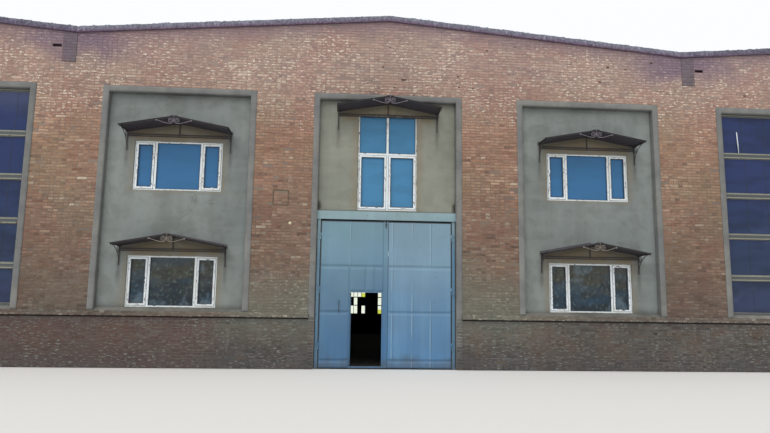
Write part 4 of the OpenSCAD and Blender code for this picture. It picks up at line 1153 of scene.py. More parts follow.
NODE_FINISHES: dict[str, Finish] = {name: finish for finish, names in (
    (Finishes.mortar, "front_wall_left front_wall_right front_gable back_wall back_gable left_party_wall "
                      "right_party_wall string_course"),
    (Finishes.plaster, "left_infill_wall right_infill_wall centre_infill_wall"),
    (Finishes.cement, "opening_surrounds"),
    (Finishes.pad, "valley_pads"),
    (Finishes.sill, "opening_sills"),
    (Finishes.coping, "front_coping back_coping party_copings"),
    (Finishes.felt, "centre_roof wing_roofs"),
    (Finishes.concrete, "valley_gutters roof_girders wing_girders"),
    (Finishes.dark_floor, "hall_columns floor_slab upper_floor upper_floor_frame"),
    (Finishes.plastic, "window_upper_left window_lower_left window_upper_right window_lower_right "
                       "window_centre"),
    (Finishes.office_glass, "office_window_glass"),
    (Finishes.hall_frame, "hall_window_frames back_window_frames"),
    (Finishes.hall_glass, "hall_window_glass"),
    (Finishes.back_glass, "back_window_glass"),
    (Finishes.canopy_frame, "canopy_frames"),
    (Finishes.canopy_sheet, "canopy_sheets"),
    (Finishes.scroll, "canopy_scrolls"),
    (Finishes.gate_frame, "gate_frame"),
    (Finishes.gate, "gate_leaf_left gate_skin_left wicket_door"),
    (Finishes.gate_right, "gate_leaf_right gate_skin_right")) for name in names.split()}


def dress_nodes() -> None:
    """Gives every node of the frame the finish that belongs to it."""
    for name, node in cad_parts.items():
        material = NODE_FINISHES[name].material()
        for place in node.material_slots:
            place.material = material
        if not node.material_slots:
            node.data.materials.append(material)
        log.info("%s: %s", name, material.name)


# brickwork

@dataclass
class Brickwork:
    """The bricks of the four walls and the pads, in courses of which every sixth is of headers.

    A brick is a row of its low u, high u, low z and high z, and a hole of its low u, low z, high u
    and high z.
    """

    length: float = 0.25
    height: float = 0.065
    joint: float = 0.012
    header_every: int = 6
    halved: float = 0.3
    proud: Span = (0.002, 0.0065)
    inset: float = 0.004
    worn: float = 0.035
    worn_depth: float = 0.005
    below_top: float = 0.012
    least: float = 0.05
    fallen: float = 1.24
    soldier: float = 0.25
    pad: Hole = (8.25, 7.83, 8.61, 9.0)
    front_hole: Hole = (8.63, 8.22, 8.89, 8.32)
    ledge: Span = (1.262, 1.41)
    rng: np.random.Generator = seeded(41)

    def runs(self, low: float, high: float, z: float, holes: list[Hole]) -> list[Span]:
        """Cuts a course at the holes that it meets.

        Args:
            low, high: Where the course starts and ends.
            z: Its height.
            holes: The holes.

        Returns:
            The stretches between the holes.
        """
        spans, at = [], low
        for u0, z0, u1, z1 in sorted(holes):
            if z0 < z < z1:
                if u0 > at:
                    spans.append((at, u0))
                at = max(at, u1)
        if high > at:
            spans.append((at, high))
        return spans

    def layout(self, low: float, high: float, base: float, top: float, holes: list[Hole] = ()) -> Array:
        """Lays courses over a rectangle.

        A course's upright joints stand at whole pitches, shifted by half a pitch every other
        course; a run is cut at them, and a brick is what lies between two cuts less the joint.

        Args:
            low, high: Left and right edge.
            base, top: Bottom of the first course and top of the rectangle.
            holes: What is left free.

        Returns:
            The bricks.
        """
        rise, rows, gap = self.height + self.joint, [], self.joint / 2
        for k in range(int((top - base) / rise) + 1):
            z = base + k * rise + gap
            header = k % self.header_every == 0
            pitch = (self.length + self.joint) / (2 if header else 1)
            shift = pitch * (0.5 if k % 2 else 0.0) + self.rng.uniform(-0.012, 0.012)
            for a, b in self.runs(low, high, z + self.height / 2, holes):
                first, last = math.floor((a - shift) / pitch), math.ceil((b - shift) / pitch)
                cuts = np.arange(first, last + 1) * pitch + shift
                cuts = cuts + self.rng.uniform(-0.003, 0.003, len(cuts))
                cuts = cuts[(cuts > a + self.least) & (cuts < b - self.least)]
                if not header and len(cuts) > 1:
                    halves = (cuts[:-1] + cuts[1:]) / 2
                    cuts = np.sort(np.concatenate([cuts, halves[self.rng.random(len(halves)) < self.halved]]))
                cuts = np.concatenate([[a - gap], cuts, [b + gap]])
                z0 = np.full(len(cuts) - 1, z) + self.rng.uniform(-0.0015, 0.0015, len(cuts) - 1)
                rows.append(np.c_[cuts[:-1] + gap, cuts[1:] - gap, z0, z0 + self.height])
        return np.concatenate(rows)

    def shades(self, cells: Array, worn: Array) -> dict[str, Array]:
        """Hue and tone of each brick: random draws over wide clouds, with pale and dark ones here and there.

        Args:
            cells: The bricks.
            worn: Which bricks are worn back.

        Returns:
            The values, each eight times, once for each point of a brick.
        """
        count = len(cells)
        middle_u, middle_z = cells[:, :2].mean(axis=1), cells[:, 2:].mean(axis=1)
        hue = self.rng.normal(0.46, 0.13, count) + 0.5 * (octaves(middle_u, middle_z, 1.1, 3, 5) - 0.5)
        clusters = ease(octaves(middle_u, middle_z, 0.5, 2, 15), 0.58, 0.72)
        pale = 0.02 + 0.08 * ease(middle_z, 6.6, 7.3) * (1 - ease(middle_z, 8.5, 8.9)) + 0.1 * clusters
        pale *= np.where(cells[:, 1] - cells[:, 0] < 0.16, 1.5, 0.4)
        hue = np.where(self.rng.random(count) < pale, self.rng.uniform(0.75, 1.0, count), hue)
        hue = np.where(self.rng.random(count) < 0.04, 0.04, hue)
        tone = np.clip(self.rng.normal(0.5, 0.2, count) - 0.2 * worn, 0, 1)
        return {"hue": np.repeat(np.clip(hue, 0, 1), 8), "tone": np.repeat(tone, 8)}

    def laid(self, face: WallFace, cells: Array, top: Callable[[Array], Array] = plan.top) -> Shell:
        """Bricks on a face: a ring of four points in the wall and an inset ring proud of it.

        Each front corner is shifted a little, so no two bricks are alike, and points above the
        wall's top line are brought down to it.

        Args:
            face: The wall's face.
            cells: The bricks.
            top: Height of the wall at a place along it.

        Returns:
            The shell of all of them.
        """
        cells = cells[cells[:, 2] < top(cells[:, :2].mean(axis=1)) - 0.035]
        count = len(cells)
        u, z = cells[:, [0, 1, 1, 0]], cells[:, [2, 2, 3, 3]]
        sign_u, sign_z = np.array([1, -1, -1, 1]), np.array([1, 1, -1, -1])
        front_u = u + self.inset * sign_u + self.rng.uniform(-0.002, 0.002, (count, 4))
        front_z = z + self.inset * sign_z + self.rng.uniform(-0.002, 0.002, (count, 4))
        proud = self.rng.uniform(*self.proud, (count, 1)) + self.rng.uniform(-0.0012, 0.0012, (count, 4))
        worn = self.rng.random(count) < self.worn
        proud[worn] -= self.worn_depth
        u, z = np.concatenate([u, front_u], axis=1), np.concatenate([z, front_z], axis=1)
        depth = np.concatenate([np.full((count, 4), SUNK), proud], axis=1)
        sides = np.array([[4, 5, 6, 7], [0, 1, 5, 4], [1, 2, 6, 5], [2, 3, 7, 6], [3, 0, 4, 7]])
        points = face.at(u, np.minimum(z, top(u) - self.below_top), depth).reshape(-1, 3)
        return Shell(points, repeated(sides, 8, count), self.shades(cells, worn))

    def front_holes(self) -> list[Hole]:
        """What the front's bricks leave free.

        Returns:
            The openings out to the outer edge of their bands, the pads, holes, ledge and patch.
        """
        top, wide, end = plan.head_z + plan.band, plan.half_open + plan.band, plan.half_end + plan.band
        found = [(-wide, -1.0, wide, top), plan.patch]
        for near, low, far, high in (
                (plan.bay - wide, plan.dado_z, plan.bay + wide, top), self.pad, self.front_hole,
                (2 * plan.bay - end, plan.dado_z, 2 * plan.bay + end, top),
                (wide, self.ledge[0], plan.end_x, self.ledge[1])):
            found += [(a, low, b, high) for a, b in mirrored(near, far)]
        return found

    def back_holes(self) -> list[Hole]:
        """What the back's bricks leave free.

        Returns:
            The openings with the soldier course over each, and the two small holes.
        """
        found = [(b * plan.bay - plan.back_half(b), plan.back_sill_z - 0.08, b * plan.bay + plan.back_half(b),
                  plan.head_z + 0.262) for b in plan.bays]
        near, low, far, high = self.front_hole
        return found + [(a, low, b, high) for a, b in mirrored(near, far)]

    def soldiers(self, middle: float, half: float) -> Array:
        """Upright bricks over a back opening.

        Args:
            middle, half: Middle of the opening and half its width.

        Returns:
            The bricks.
        """
        gap = self.joint / 2
        edges = np.linspace(middle - half, middle + half, round(2 * half / (self.height + self.joint)) + 1)
        z = np.full(len(edges) - 1, plan.head_z + gap)
        return np.c_[edges[:-1] + gap, edges[1:] - gap, z, z + self.soldier]

    def build(self) -> None:
        """Lays the four walls, the bricks where the gate's bands have fallen, the pads and the soldiers."""
        ends, high = plan.end_x - 0.001, 9.4
        u0, z0, u1, z1 = plan.patch
        front = self.layout(-ends, ends, 0.0, high, self.front_holes())
        inside = self.layout(u0 + 0.03, u1 - 0.03, z0 + 0.03, z1 - 0.1)
        bare = [self.laid(BAND, self.layout(a, b, 0.05, self.fallen))
                for a, b in mirrored(plan.half_open + 0.004, plan.half_open + 0.148)]
        Shell.joined([self.laid(FRONT, front), self.laid(FRONT, inside), *bare]).piece(
            "bricks_front", Finishes.brick, "brick")
        pads = [self.laid(BAND, self.layout(a, b, 7.84, 8.62)) for a, b in mirrored(8.254, 8.606)]
        Shell.joined(pads).piece("bricks_pads", Finishes.pad, "render")
        back = [self.laid(BACK, self.layout(-ends, ends, 0.0, high, self.back_holes()))]
        back += [self.laid(BACK, self.soldiers(-b * plan.bay, plan.back_half(b))) for b in plan.bays]
        Shell.joined(back).piece("bricks_back", Finishes.brick, "brick")
        for name, face in (("bricks_left", LEFT), ("bricks_right", RIGHT)):
            cells = self.layout(0.001 - plan.side_y, plan.side_y - 0.001, 0.0, 9.09)
            level = self.laid(face, cells, lambda u: np.full_like(u, plan.top(plan.end_x)))
            level.piece(name, Finishes.brick, "brick")


# camera and light

@dataclass(frozen=True)
class Viewpoint:
    """Where the photograph was taken from: place in metres, turns in radians, focal length in pixels."""

    place: Triple = (-1.2366, -27.6165, 1.5624)
    yaw: float = 0.0708
    pitch: float = 0.1410
    roll: float = 0.0137
    focal: float = 640.0
    image_w: float = 770.0
    sensor: float = 36.0

    def build(self) -> None:
        """Adds the camera and makes it the scene's."""
        level = math.cos(self.pitch)
        ahead = np.array([math.sin(self.yaw) * level, math.cos(self.yaw) * level, math.sin(self.pitch)])
        right = np.array([math.cos(self.yaw), -math.sin(self.yaw), 0.0])
        rise = np.cross(right, ahead)
        turned = math.cos(self.roll) * right + math.sin(self.roll) * rise
        upper = math.cos(self.roll) * rise - math.sin(self.roll) * right
        data = bpy.data.cameras.new("viewpoint")
        data.sensor_width = self.sensor
        data.lens = self.focal / self.image_w * self.sensor
        data.clip_end = 500.0
        camera = bpy.data.objects.new("viewpoint", data)
        turns = [[turned[k], upper[k], -ahead[k], self.place[k]] for k in range(3)]
        camera.matrix_world = Matrix(turns + [[0.0, 0.0, 0.0, 1.0]])
        bpy.context.scene.collection.objects.link(camera)
        bpy.context.scene.camera = camera


@dataclass(frozen=True)
class Studio:
    """A pale floor, a plain soft sky and one wide lamp from the upper left of the front."""

    floor_half: float = 90.0
    floor_z: float = -0.012
    sky: float = 0.62
    lamp: float = 1.9
    lamp_angle: float = 70.0
    lamp_turn: Triple = (40.0, 0.0, -28.0)

    def build(self) -> None:
        """Adds the floor, the sky and the lamp."""
        places = np.array([[-1, -1], [1, -1], [1, 1], [-1, 1]]) * self.floor_half
        mesh = bpy.data.meshes.new("floor")
        mesh.from_pydata(np.column_stack([places, np.full(4, self.floor_z)]).tolist(), [], [(0, 1, 2, 3)])
        material = bpy.data.materials.new("floor_paper")
        material.use_nodes = True
        shader = material.node_tree.nodes["Principled BSDF"]
        shader.inputs["Base Color"].default_value = paint(226, 224, 220)
        shader.inputs["Roughness"].default_value = 0.95
        mesh.materials.append(material)
        floor = bpy.data.objects.new("floor", mesh)
        bpy.context.scene.collection.objects.link(floor)
        self.build_sky()
        data = bpy.data.lights.new("soft_lamp", "SUN")
        data.energy = self.lamp
        data.angle = math.radians(self.lamp_angle)
        lamp = bpy.data.objects.new("soft_lamp", data)
        lamp.rotation_euler = [math.radians(turn) for turn in self.lamp_turn]
        bpy.context.scene.collection.objects.link(lamp)

    def build_sky(self) -> None:
        """A dim even sky for light, and a white one where it is seen, mirrored or looked through to."""
        world = bpy.data.worlds.new("sky")
        world.use_nodes = True
        bpy.context.scene.world = world
        graph = Graph(world.node_tree)
        path = graph.node("ShaderNodeLightPath").outputs
        rays = [Signal(graph, path[f"Is {kind} Ray"]) for kind in ("Camera", "Glossy", "Transmission")]
        seen = reduce(partial(graph.math, "MAXIMUM"), rays)
        light = world.node_tree.nodes["Background"]
        light.inputs["Color"].default_value = (0.97, 0.985, 1.0, 1.0)
        graph.feed(light.inputs["Strength"], seen.remap(0.0, 1.0, self.sky, 1.0))


# masonry trim

@dataclass
class Copings:
    """Bricks on edge along every parapet, each a little higher or lower than the next."""

    pitch: float = 0.077
    joint: float = 0.012
    height: float = 0.15
    bevel: float = 0.006
    over: float = 0.06
    wall: float = 0.51
    skin: float = 0.004
    cuts: Span = (0.13, 0.385)
    side_cut: float = 0.256
    rng: np.random.Generator = seeded(53)

    def run(self, low: float, high: float, cuts: list[float], along_x: bool) -> Shell:
        """Bricks side by side from low to high, each row cut across at the given places.

        The bottom and top of each brick follow the parapet line at its own place, with a random
        rise, and its corners are rounded off by a bevel.

        Args:
            low, high: Where the run starts and ends.
            cuts: Places across it where bricks end.
            along_x: Whether it runs along X.

        Returns:
            The bricks.
        """
        places = np.arange(low, high - self.pitch / 2, self.pitch)
        gap, count, rows = self.joint / 2, len(places), []
        near, far = places + gap, places + self.pitch - gap
        for a, b in zip(cuts[:-1], cuts[1:]):
            rise = 0.034 * octaves(places, 0 * places + a, 0.3, 3, 5) ** 2
            top = self.height + rise + self.rng.uniform(-0.006, 0.012, count)
            across = np.array([[a + gap, b - gap]]) + self.rng.uniform(-0.006, 0.006, (count, 1))
            rows.append(np.column_stack([near, far, across, top]))
        x0, x1, y0, y1, top = np.concatenate(rows)[:, [0, 1, 2, 3, 4] if along_x else [2, 3, 0, 1, 4]].T
        made = boxes(np.c_[x0, y0, 0 * x0 + self.joint], np.c_[x1, y1, top], self.bevel,
                     tone=self.rng.random(len(x0)))
        return Shell(made.points + plan.top(made.points[:, :1]) * UP, made.faces, made.values)

    def build(self) -> None:
        """Lays the front, back and side copings."""
        ends = plan.end_x + self.over + self.skin
        inner = plan.side_y - self.wall - self.over - self.skin
        outer = plan.side_y + self.over + self.skin
        cuts = [inner, *(inner + cut for cut in self.cuts), outer]
        side = [plan.end_x - plan.party - self.over, ends - self.side_cut, ends]
        for name, along, across in (("front", ends, [-c for c in cuts[::-1]]), ("back", ends, cuts)):
            self.run(-along, along, across, True).piece(f"coping_bricks_{name}", Finishes.coping, "coping")
        sides = [self.run(-inner, inner, across, False) for across in ([-c for c in side[::-1]], side)]
        Shell.joined(sides).piece("coping_bricks_sides", Finishes.coping, "coping")


@dataclass
class Ledge:
    """Two courses of headers that make the string course above the dado, and a dark strip of painted shadow
    below them.
    """

    pitch: float = 0.131
    joint: float = 0.012
    levels: Span = (1.272, 1.337)
    shadow_strip: Span = (1.236, 1.269)
    height: float = 0.056
    out: float = 0.064
    gap: float = 0.004
    rng: np.random.Generator = seeded(67)

    def course(self, side: int, level: float, shift: float) -> Shell:
        """One course on one side of the gate, each header a little higher, lower or further out.

        Args:
            side: -1 for the left and 1 for the right.
            level: Bottom of the course.
            shift: Length of its first brick.

        Returns:
            The bricks.
        """
        start = plan.half_open + plan.band + self.gap
        joints = np.arange(start + shift, plan.end_x - 0.05, self.pitch)
        cuts = np.concatenate([[start], joints, [plan.end_x]])
        near, far = np.sort(side * np.stack([cuts[:-1], cuts[1:] - self.joint]), axis=0)
        count, top = len(near), level + self.height
        low = np.c_[near, np.full(count, -0.01), level + self.rng.uniform(-0.003, 0.003, count)]
        high = np.c_[far, self.out + self.rng.uniform(-0.006, 0.006, count),
                     top + self.rng.uniform(-0.004, 0.004, count)]
        return FRONT.boxes(low, high, 0.007, hue=np.clip(self.rng.normal(0.52, 0.2, count), 0, 1),
                           tone=self.rng.random(count))

    def build(self) -> None:
        """Lays the courses on both sides of the gate, and the strip of painted shadow below."""
        courses = [self.course(side, level, self.pitch * share) for side in (-1, 1)
                   for level, share in zip(self.levels, (1.0, 0.5))]
        Shell.joined(courses).piece("ledge_bricks", Finishes.ledge, "brick")
        # a near-black bar painted as the shadow under the string course
        spans = [(a, self.shadow_strip[0], b, self.shadow_strip[1])
                 for a, b in mirrored(plan.half_open + plan.band + self.gap, plan.end_x - 0.002)]
        FRONT.bars(spans, SUNK, 0.011).piece("ledge_shadow_strip", Finishes.dark_tone, "brick")


@dataclass(frozen=True)
class Infill:
    """The plaster skin of one infill wall, with its repairs, stains and painted shadows."""

    middle: float
    low: float
    holes: list[Hole]
    eaves: Row
    pitch: float = 0.036
    skin: float = 0.004
    relief: float = 0.0045
    dent: float = 0.003
    rust_spot: Hole = (1.82, 4.2, 0.1, 0.17)

    def depth(self, u: Array, z: Array) -> Array:
        """Skin plus relief: long waves, trowel marks half as high, and a few shallow dents."""
        waves = octaves(u, z, 0.9, 2, 3) + 0.5 * octaves(u, z, 0.16, 2, 8) - 0.6
        return self.skin + self.relief * waves - self.dent * ease(value_noise(u, z, 0.3, 21), 0.8, 0.95)

    def repair(self, u: Array, z: Array) -> Array:
        """Where brown mending mortar lies: the greater of the shares round the windows and in the gables.

        Args:
            u, z: Places along the wall and up it.

        Returns:
            The share of mortar at each place.
        """
        reach, share = np.abs(u - self.middle) / plan.canopy_half, np.zeros_like(u)
        ragged = 0.16 * (octaves(u, z, 0.35, 3, 12) - 0.5)
        for u0, z0, u1, z1 in self.holes:
            away = np.maximum(np.maximum(u0 - u, u - u1), np.maximum((z0 - z) * 2.4, z - z1))
            share = np.maximum(share, 0.5 * (1 - ease(away + ragged, 0.02, 0.24)))
        for line in self.eaves:
            gable = ease(line + plan.canopy_rise * (1 - reach) - z, 0.0, 0.05) * (1 - ease(reach, 0.8, 1.0))
            share = np.maximum(share, 0.9 * gable * ease(z - line + 0.35, 0.0, 0.2))
        return share

    def grime(self, u: Array, z: Array) -> Array:
        """Where rust lies below the bracket legs, painted shadow under the sheets and over the lintel, and a
        dark foot.

        Args:
            u, z: Places along the wall and up it.

        Returns:
            The greatest share of all the marks at each place.
        """
        marks, reach = [np.zeros_like(u)], np.abs(u - self.middle) / plan.canopy_half
        for line in self.eaves:
            drop, under = line - 0.4 - z, line + plan.canopy_rise * (1 - reach) - z
            for side in (-1, 1):
                leg = self.middle + side * (plan.canopy_half - 0.012)
                off = np.abs(u - leg) + 0.05 * octaves(u, z, 0.2, 2, 4)
                run = ease(drop, -0.1, 0.1) * (1 - ease(drop, 0.25, 0.75))
                marks.append(0.42 * (1 - ease(off, 0.03, 0.11)) * run)
            # painted shadow of the canopy's sheets on the plaster just below them
            below = ease(under, 0.0, 0.03) * (1 - ease(under, 0.06, 0.22))
            marks.append(0.5 * below * (1 - ease(reach, 0.95, 1.02)))
        if self.middle:
            foot = z - plan.sill_z + 0.06 * octaves(u, z, 0.3, 2, 9)
            marks.append(0.35 * (1 - ease(foot, 0.03, 0.16)))
        else:
            x, level, wide, tall = self.rust_spot
            for side in (-1, 1):
                off = np.hypot((u - side * x) / wide, (z - level) / tall) + 0.5 * octaves(u, z, 0.1, 2, 6)
                marks.append(0.85 * (1 - ease(off, 0.7, 1.4)))
            # painted shadow line just above the lintel
            marks.append(0.4 * (1 - ease(z - plan.lintel_z, 0.01, 0.05)))
        return np.max(marks, axis=0)

    def build(self, name: str) -> None:
        """Lays the skin.

        Args:
            name: Name of the piece.
        """
        finish, end = Finishes.plaster if self.middle else Finishes.pale_plaster, plan.half_open - 0.002
        u = steps(self.middle - end, self.middle + end, self.pitch)
        z = steps(self.low, plan.head_z - 0.002, self.pitch)
        INFILL.sheet(u, z, self.depth, self.holes, values={"repair": self.repair, "grime": self.grime}).piece(
            name, finish, "render", smooth=True)


@dataclass
class Plasterwork:
    """Plaster skins on the infill walls, the bands and the reveals."""

    skin: float = 0.004
    pitch: float = 0.05

    def band(self, middle: float, half: float, low: float) -> Shell:
        """One band's skin: its outer edge wanders a few millimetres over the bricks.

        Args:
            middle, half: Middle of the opening and half its width.
            low: Bottom of the band.

        Returns:
            The skin.
        """
        out, top = half + plan.band, plan.head_z + plan.band
        u, z = steps(middle - out, middle + out, self.pitch), steps(low, top, self.pitch)
        made = BAND.sheet(u, z, lambda a, b: 0.0025 + 0.003 * octaves(a, b, 0.14, 2, 14),
                          [(middle - half, low - 1.0, middle + half, plan.head_z)])
        x, y, height = made.points.T
        side = np.sign(x - middle)
        wander = 0.016 * (octaves(height, 0 * x + 3.0 * side, 0.22, 3, 2) - 0.35)
        x = x + side * ease(np.abs(x - middle), out - 0.05, out - 0.02) * wander
        lift = 0.014 * (octaves(made.points[:, 0], 0 * x, 0.25, 3, 7) - 0.35)
        height = height + ease(height, top - 0.05, top - 0.02) * lift
        return Shell(np.c_[x, y, height], made.faces, made.values)

    def build(self) -> None:
        """Lays the three infills, the bands and the reveals."""
        reach, bands, low, high = plan.window_w / 2, [], [], []
        for name, middle in (("plaster_left", -plan.bay), ("plaster_right", plan.bay)):
            holes = [(middle - reach, z, middle + reach, z + plan.window_h) for z in plan.window_z]
            Infill(middle, plan.sill_z - 0.006, holes, plan.eaves[:2]).build(name)
        hole = (-plan.middle_w / 2, plan.middle_z[0], plan.middle_w / 2, plan.middle_z[2])
        base, head = plan.lintel_z + 0.002, plan.head_z
        Infill(0.0, base, [hole], plan.eaves[2:]).build("plaster_centre")
        deep, shallow, proud = plan.infill_back, plan.gate_back - 0.002, 0.0165
        for bay, half, base, back, top in (
                (0, plan.half_open, base, deep, head),
                (0, plan.half_open, 0.042, shallow, plan.lintel_z - 0.005),
                *((bay, plan.half_open, plan.dado_z, deep, head) for bay in (-1, 1)),
                *((bay, plan.half_end, plan.dado_z, shallow, head) for bay in (-2, 2))):
            middle = bay * plan.bay
            for a, b in mirrored(half - self.skin, half):
                low.append((middle + a, -back, base))
                high.append((middle + b, proud, top))
            if top == head:
                bands.append(self.band(middle, half, plan.dado_z + 0.002 if bay else 1.27))
                low.append((middle - half, -back, top - self.skin))
                high.append((middle + half, proud, top))
        Shell.joined(bands).piece("band_skins", Finishes.cement, "render", smooth=True)
        FRONT.boxes(low, high, 0.0015).piece("reveal_skins", Finishes.cement, "render")


# windows

def frame_ring(u0: float, z0: float, u1: float, z1: float, width: float) -> list[Hole]:
    """The four bars of a frame of a width just inside a rectangle."""
    return [(u0, z0, u1, z0 + width), (u0, z1 - width, u1, z1),
            (u0, z0 + width, u0 + width, z1 - width), (u1 - width, z0 + width, u1, z1 - width)]


class Sash(Enum):
    """How a light of an office window is held: how far its gasket reaches over the frame."""

    FIXED = 0.006
    OPENING = 0.014


@dataclass
class OfficeWindows:
    """Seals and painted sash gap shadows, handles, hinges, drain caps, mounting foam and torn film on the
    white windows.
    """

    side_light: float = 0.345
    frame_f: float = 0.045
    sash_f: float = 0.06
    mullion: float = 0.07
    set_back: float = 0.19
    sash_proud: float = 0.012
    glass_back: float = 0.222
    gap: float = 0.014
    drains: tuple[Row, ...] = ((-0.7, -0.2, 0.2, 0.7), (-0.4, 0.4))
    scraps: tuple[int, int] = (42, 20)
    scrap_hues: Row = (0.02, 0.05, 0.1, 0.3, 0.4, 0.62, 0.8, 1.0)
    foam: Span = (0.004, 0.016)
    rng: np.random.Generator = seeded(71)

    def outlines(self) -> list[tuple[Hole, float]]:
        """Where the windows are.

        Returns:
            The outer rectangle of each and how ragged the foam round it is, the one over the gate last.
        """
        half, middle, (base, _, head) = plan.window_w / 2, plan.middle_w / 2, plan.middle_z
        found = [((c - half, z, c + half, z + plan.window_h), 0.7)
                 for c in (-plan.bay, plan.bay) for z in plan.window_z]
        return found + [((-middle, base, middle, head), 1.35)]

    def lights(self) -> list[tuple[Hole, Sash]]:
        """Where the panes are.

        Returns:
            The glass of each light and how it is held.
        """
        found = []
        edge = plan.window_w / 2 - self.frame_f - self.sash_f
        half = edge - self.side_light - self.sash_f - self.mullion
        for (u0, z0, u1, z1), _ in self.outlines()[:4]:
            middle, low, high = (u0 + u1) / 2, z0 + self.frame_f, z1 - self.frame_f
            found += [((middle + a, low + self.sash_f, middle + b, high - self.sash_f), Sash.OPENING)
                      for a, b in mirrored(edge - self.side_light, edge)]
            found.append(((middle - half, low, middle + half, high), Sash.FIXED))
        base, transom, head = plan.middle_z
        for a, b in mirrored(self.mullion / 2, plan.middle_w / 2 - self.frame_f):
            found.append(((a, transom + self.mullion / 2, b, head - self.frame_f), Sash.FIXED))
            found.append(((a + self.sash_f, base + self.frame_f + self.sash_f, b - self.sash_f,
                           transom - self.mullion / 2 - self.sash_f), Sash.OPENING))
        return found

    def build(self) -> None:
        """Adds the gaskets, painted shadow lines in the sash gaps, the fittings, the foam and the film."""
        gaskets_and_gap_shades, gap_shadows, off = [], [], self.sash_f + 0.01
        for kind, proud in ((Sash.FIXED, 0.0), (Sash.OPENING, self.sash_proud)):
            over, rings = kind.value, []
            for (u0, z0, u1, z1), held in self.lights():
                if held is kind:
                    rings += frame_ring(u0 - over, z0 - over, u1 + over, z1 + over, over + 0.004)
            gaskets_and_gap_shades.append(FRONT.bars(rings, -self.glass_back - 0.002, proud + 0.0015 - self.set_back))
        # painted shadow lines in the gaps between the opening sashes and their frames
        for (u0, z0, u1, z1), kind in self.lights():
            if kind is Sash.OPENING:
                gap_shadows += frame_ring(u0 - off, z0 - off, u1 + off, z1 + off, self.gap)
        gaskets_and_gap_shades.append(FRONT.bars(gap_shadows, -self.set_back - 0.003, -self.set_back + 0.0022, 0.0005))
        Shell.joined(gaskets_and_gap_shades).piece("glazing_seals_and_gap_shadows", Finishes.gasket, "white_plastic")
        self.build_fittings()
        self.build_foam()
        self.build_film()

    def build_fittings(self) -> None:
        """Adds the handles, the hinges and the drain caps."""
        face, off, hubs, levers, hinges = self.sash_proud - self.set_back, self.sash_f + 0.004, [], [], []
        for (u0, z0, u1, z1), kind in self.lights():
            if kind is Sash.FIXED:
                continue
            middle = (u0 + u1) / 2
            leftmost = middle < min((-plan.bay, 0.0, plan.bay), key=lambda c: abs(c - middle))
            inner, outer = (u1 + 0.03, u0 - off) if leftmost else (u0 - 0.03, u1 + off)
            grip = z0 + 0.42 * (z1 - z0)
            hubs.append((inner - 0.014, grip - 0.032, inner + 0.014, grip + 0.032))
            levers.append((inner - 0.009, grip - 0.1, inner + 0.009, grip + 0.012))
            hinges += [(outer - 0.009, z - 0.035, outer + 0.009, z + 0.035) for z in (z0 + 0.02, z1 - 0.02)]
        caps = []
        for number, ((u0, low, u1, _), _) in enumerate(self.outlines()):
            middles = (u0 + u1) / 2 + np.array(self.drains[number // 4])
            caps += [(u - 0.015, low + 0.012, u + 0.015, low + 0.022) for u in middles]
        Shell.joined([FRONT.bars(spans, face + back, face + front, bevel) for spans, back, front, bevel in (
            (hubs, -0.002, 0.01, 0.004), (levers, 0.012, 0.024, 0.005), (hinges, -0.012, 0.004, 0.004),
            (caps, -0.014, -0.008, 0.0015))]).piece("window_hardware", Finishes.plastic, "white_plastic")

    def build_foam(self) -> None:
        """Mounting foam squeezed out between frame and plaster: a bead whose radius wanders; its dark tone is
        partly painted shade.
        """
        shells = []
        for (u0, z0, u1, z1), ragged in self.outlines():
            sides = (((u0, z0), (u0, z1)), ((u0, z1), (u1, z1)), ((u1, z1), (u1, z0)), ((u1, z0), (u0, z0)))
            for number, (a, b) in enumerate(sides[:3] if ragged > 1 else sides):
                length = math.dist(a, b)
                share = steps(0.0, 1.0, 0.018 / length)
                u, z = np.outer([b[0] - a[0], b[1] - a[1]], share) + np.array(a)[:, None]
                swell = octaves(share * length, 0 * share + number, 0.07, 3, int(10 * abs(u0)))
                radius = ragged * (self.foam[0] + self.foam[1] * swell ** 2)
                shells.append(tube(FRONT.at(u, z, -0.172 + 0.004 * swell), radius, 7))
        Shell.joined(shells).piece("mounting_foam", Finishes.foam, "white_plastic", smooth=True)

    def build_film(self) -> None:
        """Torn scraps of film on the frames, most of them at the sashes' stiles."""
        low, high, hue = [], [], []
        for (u0, z0, u1, z1), kind in self.lights():
            opens = kind is Sash.OPENING
            reach, back = (self.sash_f, self.sash_proud) if opens else (self.frame_f, 0.0)
            for _ in range(self.scraps[not opens]):
                upright = self.rng.random() < 0.75
                length, width = self.rng.uniform(0.012, 0.08), self.rng.uniform(0.004, 0.014)
                edge = self.rng.choice([-1, 1])
                sides, ends = ((u0, u1), (z0, z1)) if upright else ((z0, z1), (u0, u1))
                off = sides[edge > 0] + edge * self.rng.uniform(0.006, reach - 0.008)
                start = self.rng.uniform(ends[0], ends[1] - length)
                a, b = (off - width / 2, off + width / 2), (start, start + length)
                (left, right), (foot, head) = (a, b) if upright else (b, a)
                low.append((left, back - self.set_back - 0.001, foot))
                high.append((right, back - self.set_back + self.rng.uniform(0.0006, 0.003), head))
                hue.append(self.rng.choice(self.scrap_hues))
        made = FRONT.boxes(low, high, 0.0003, hue=np.array(hue))
        made.piece("film_scraps", Finishes.scrap, "white_plastic")


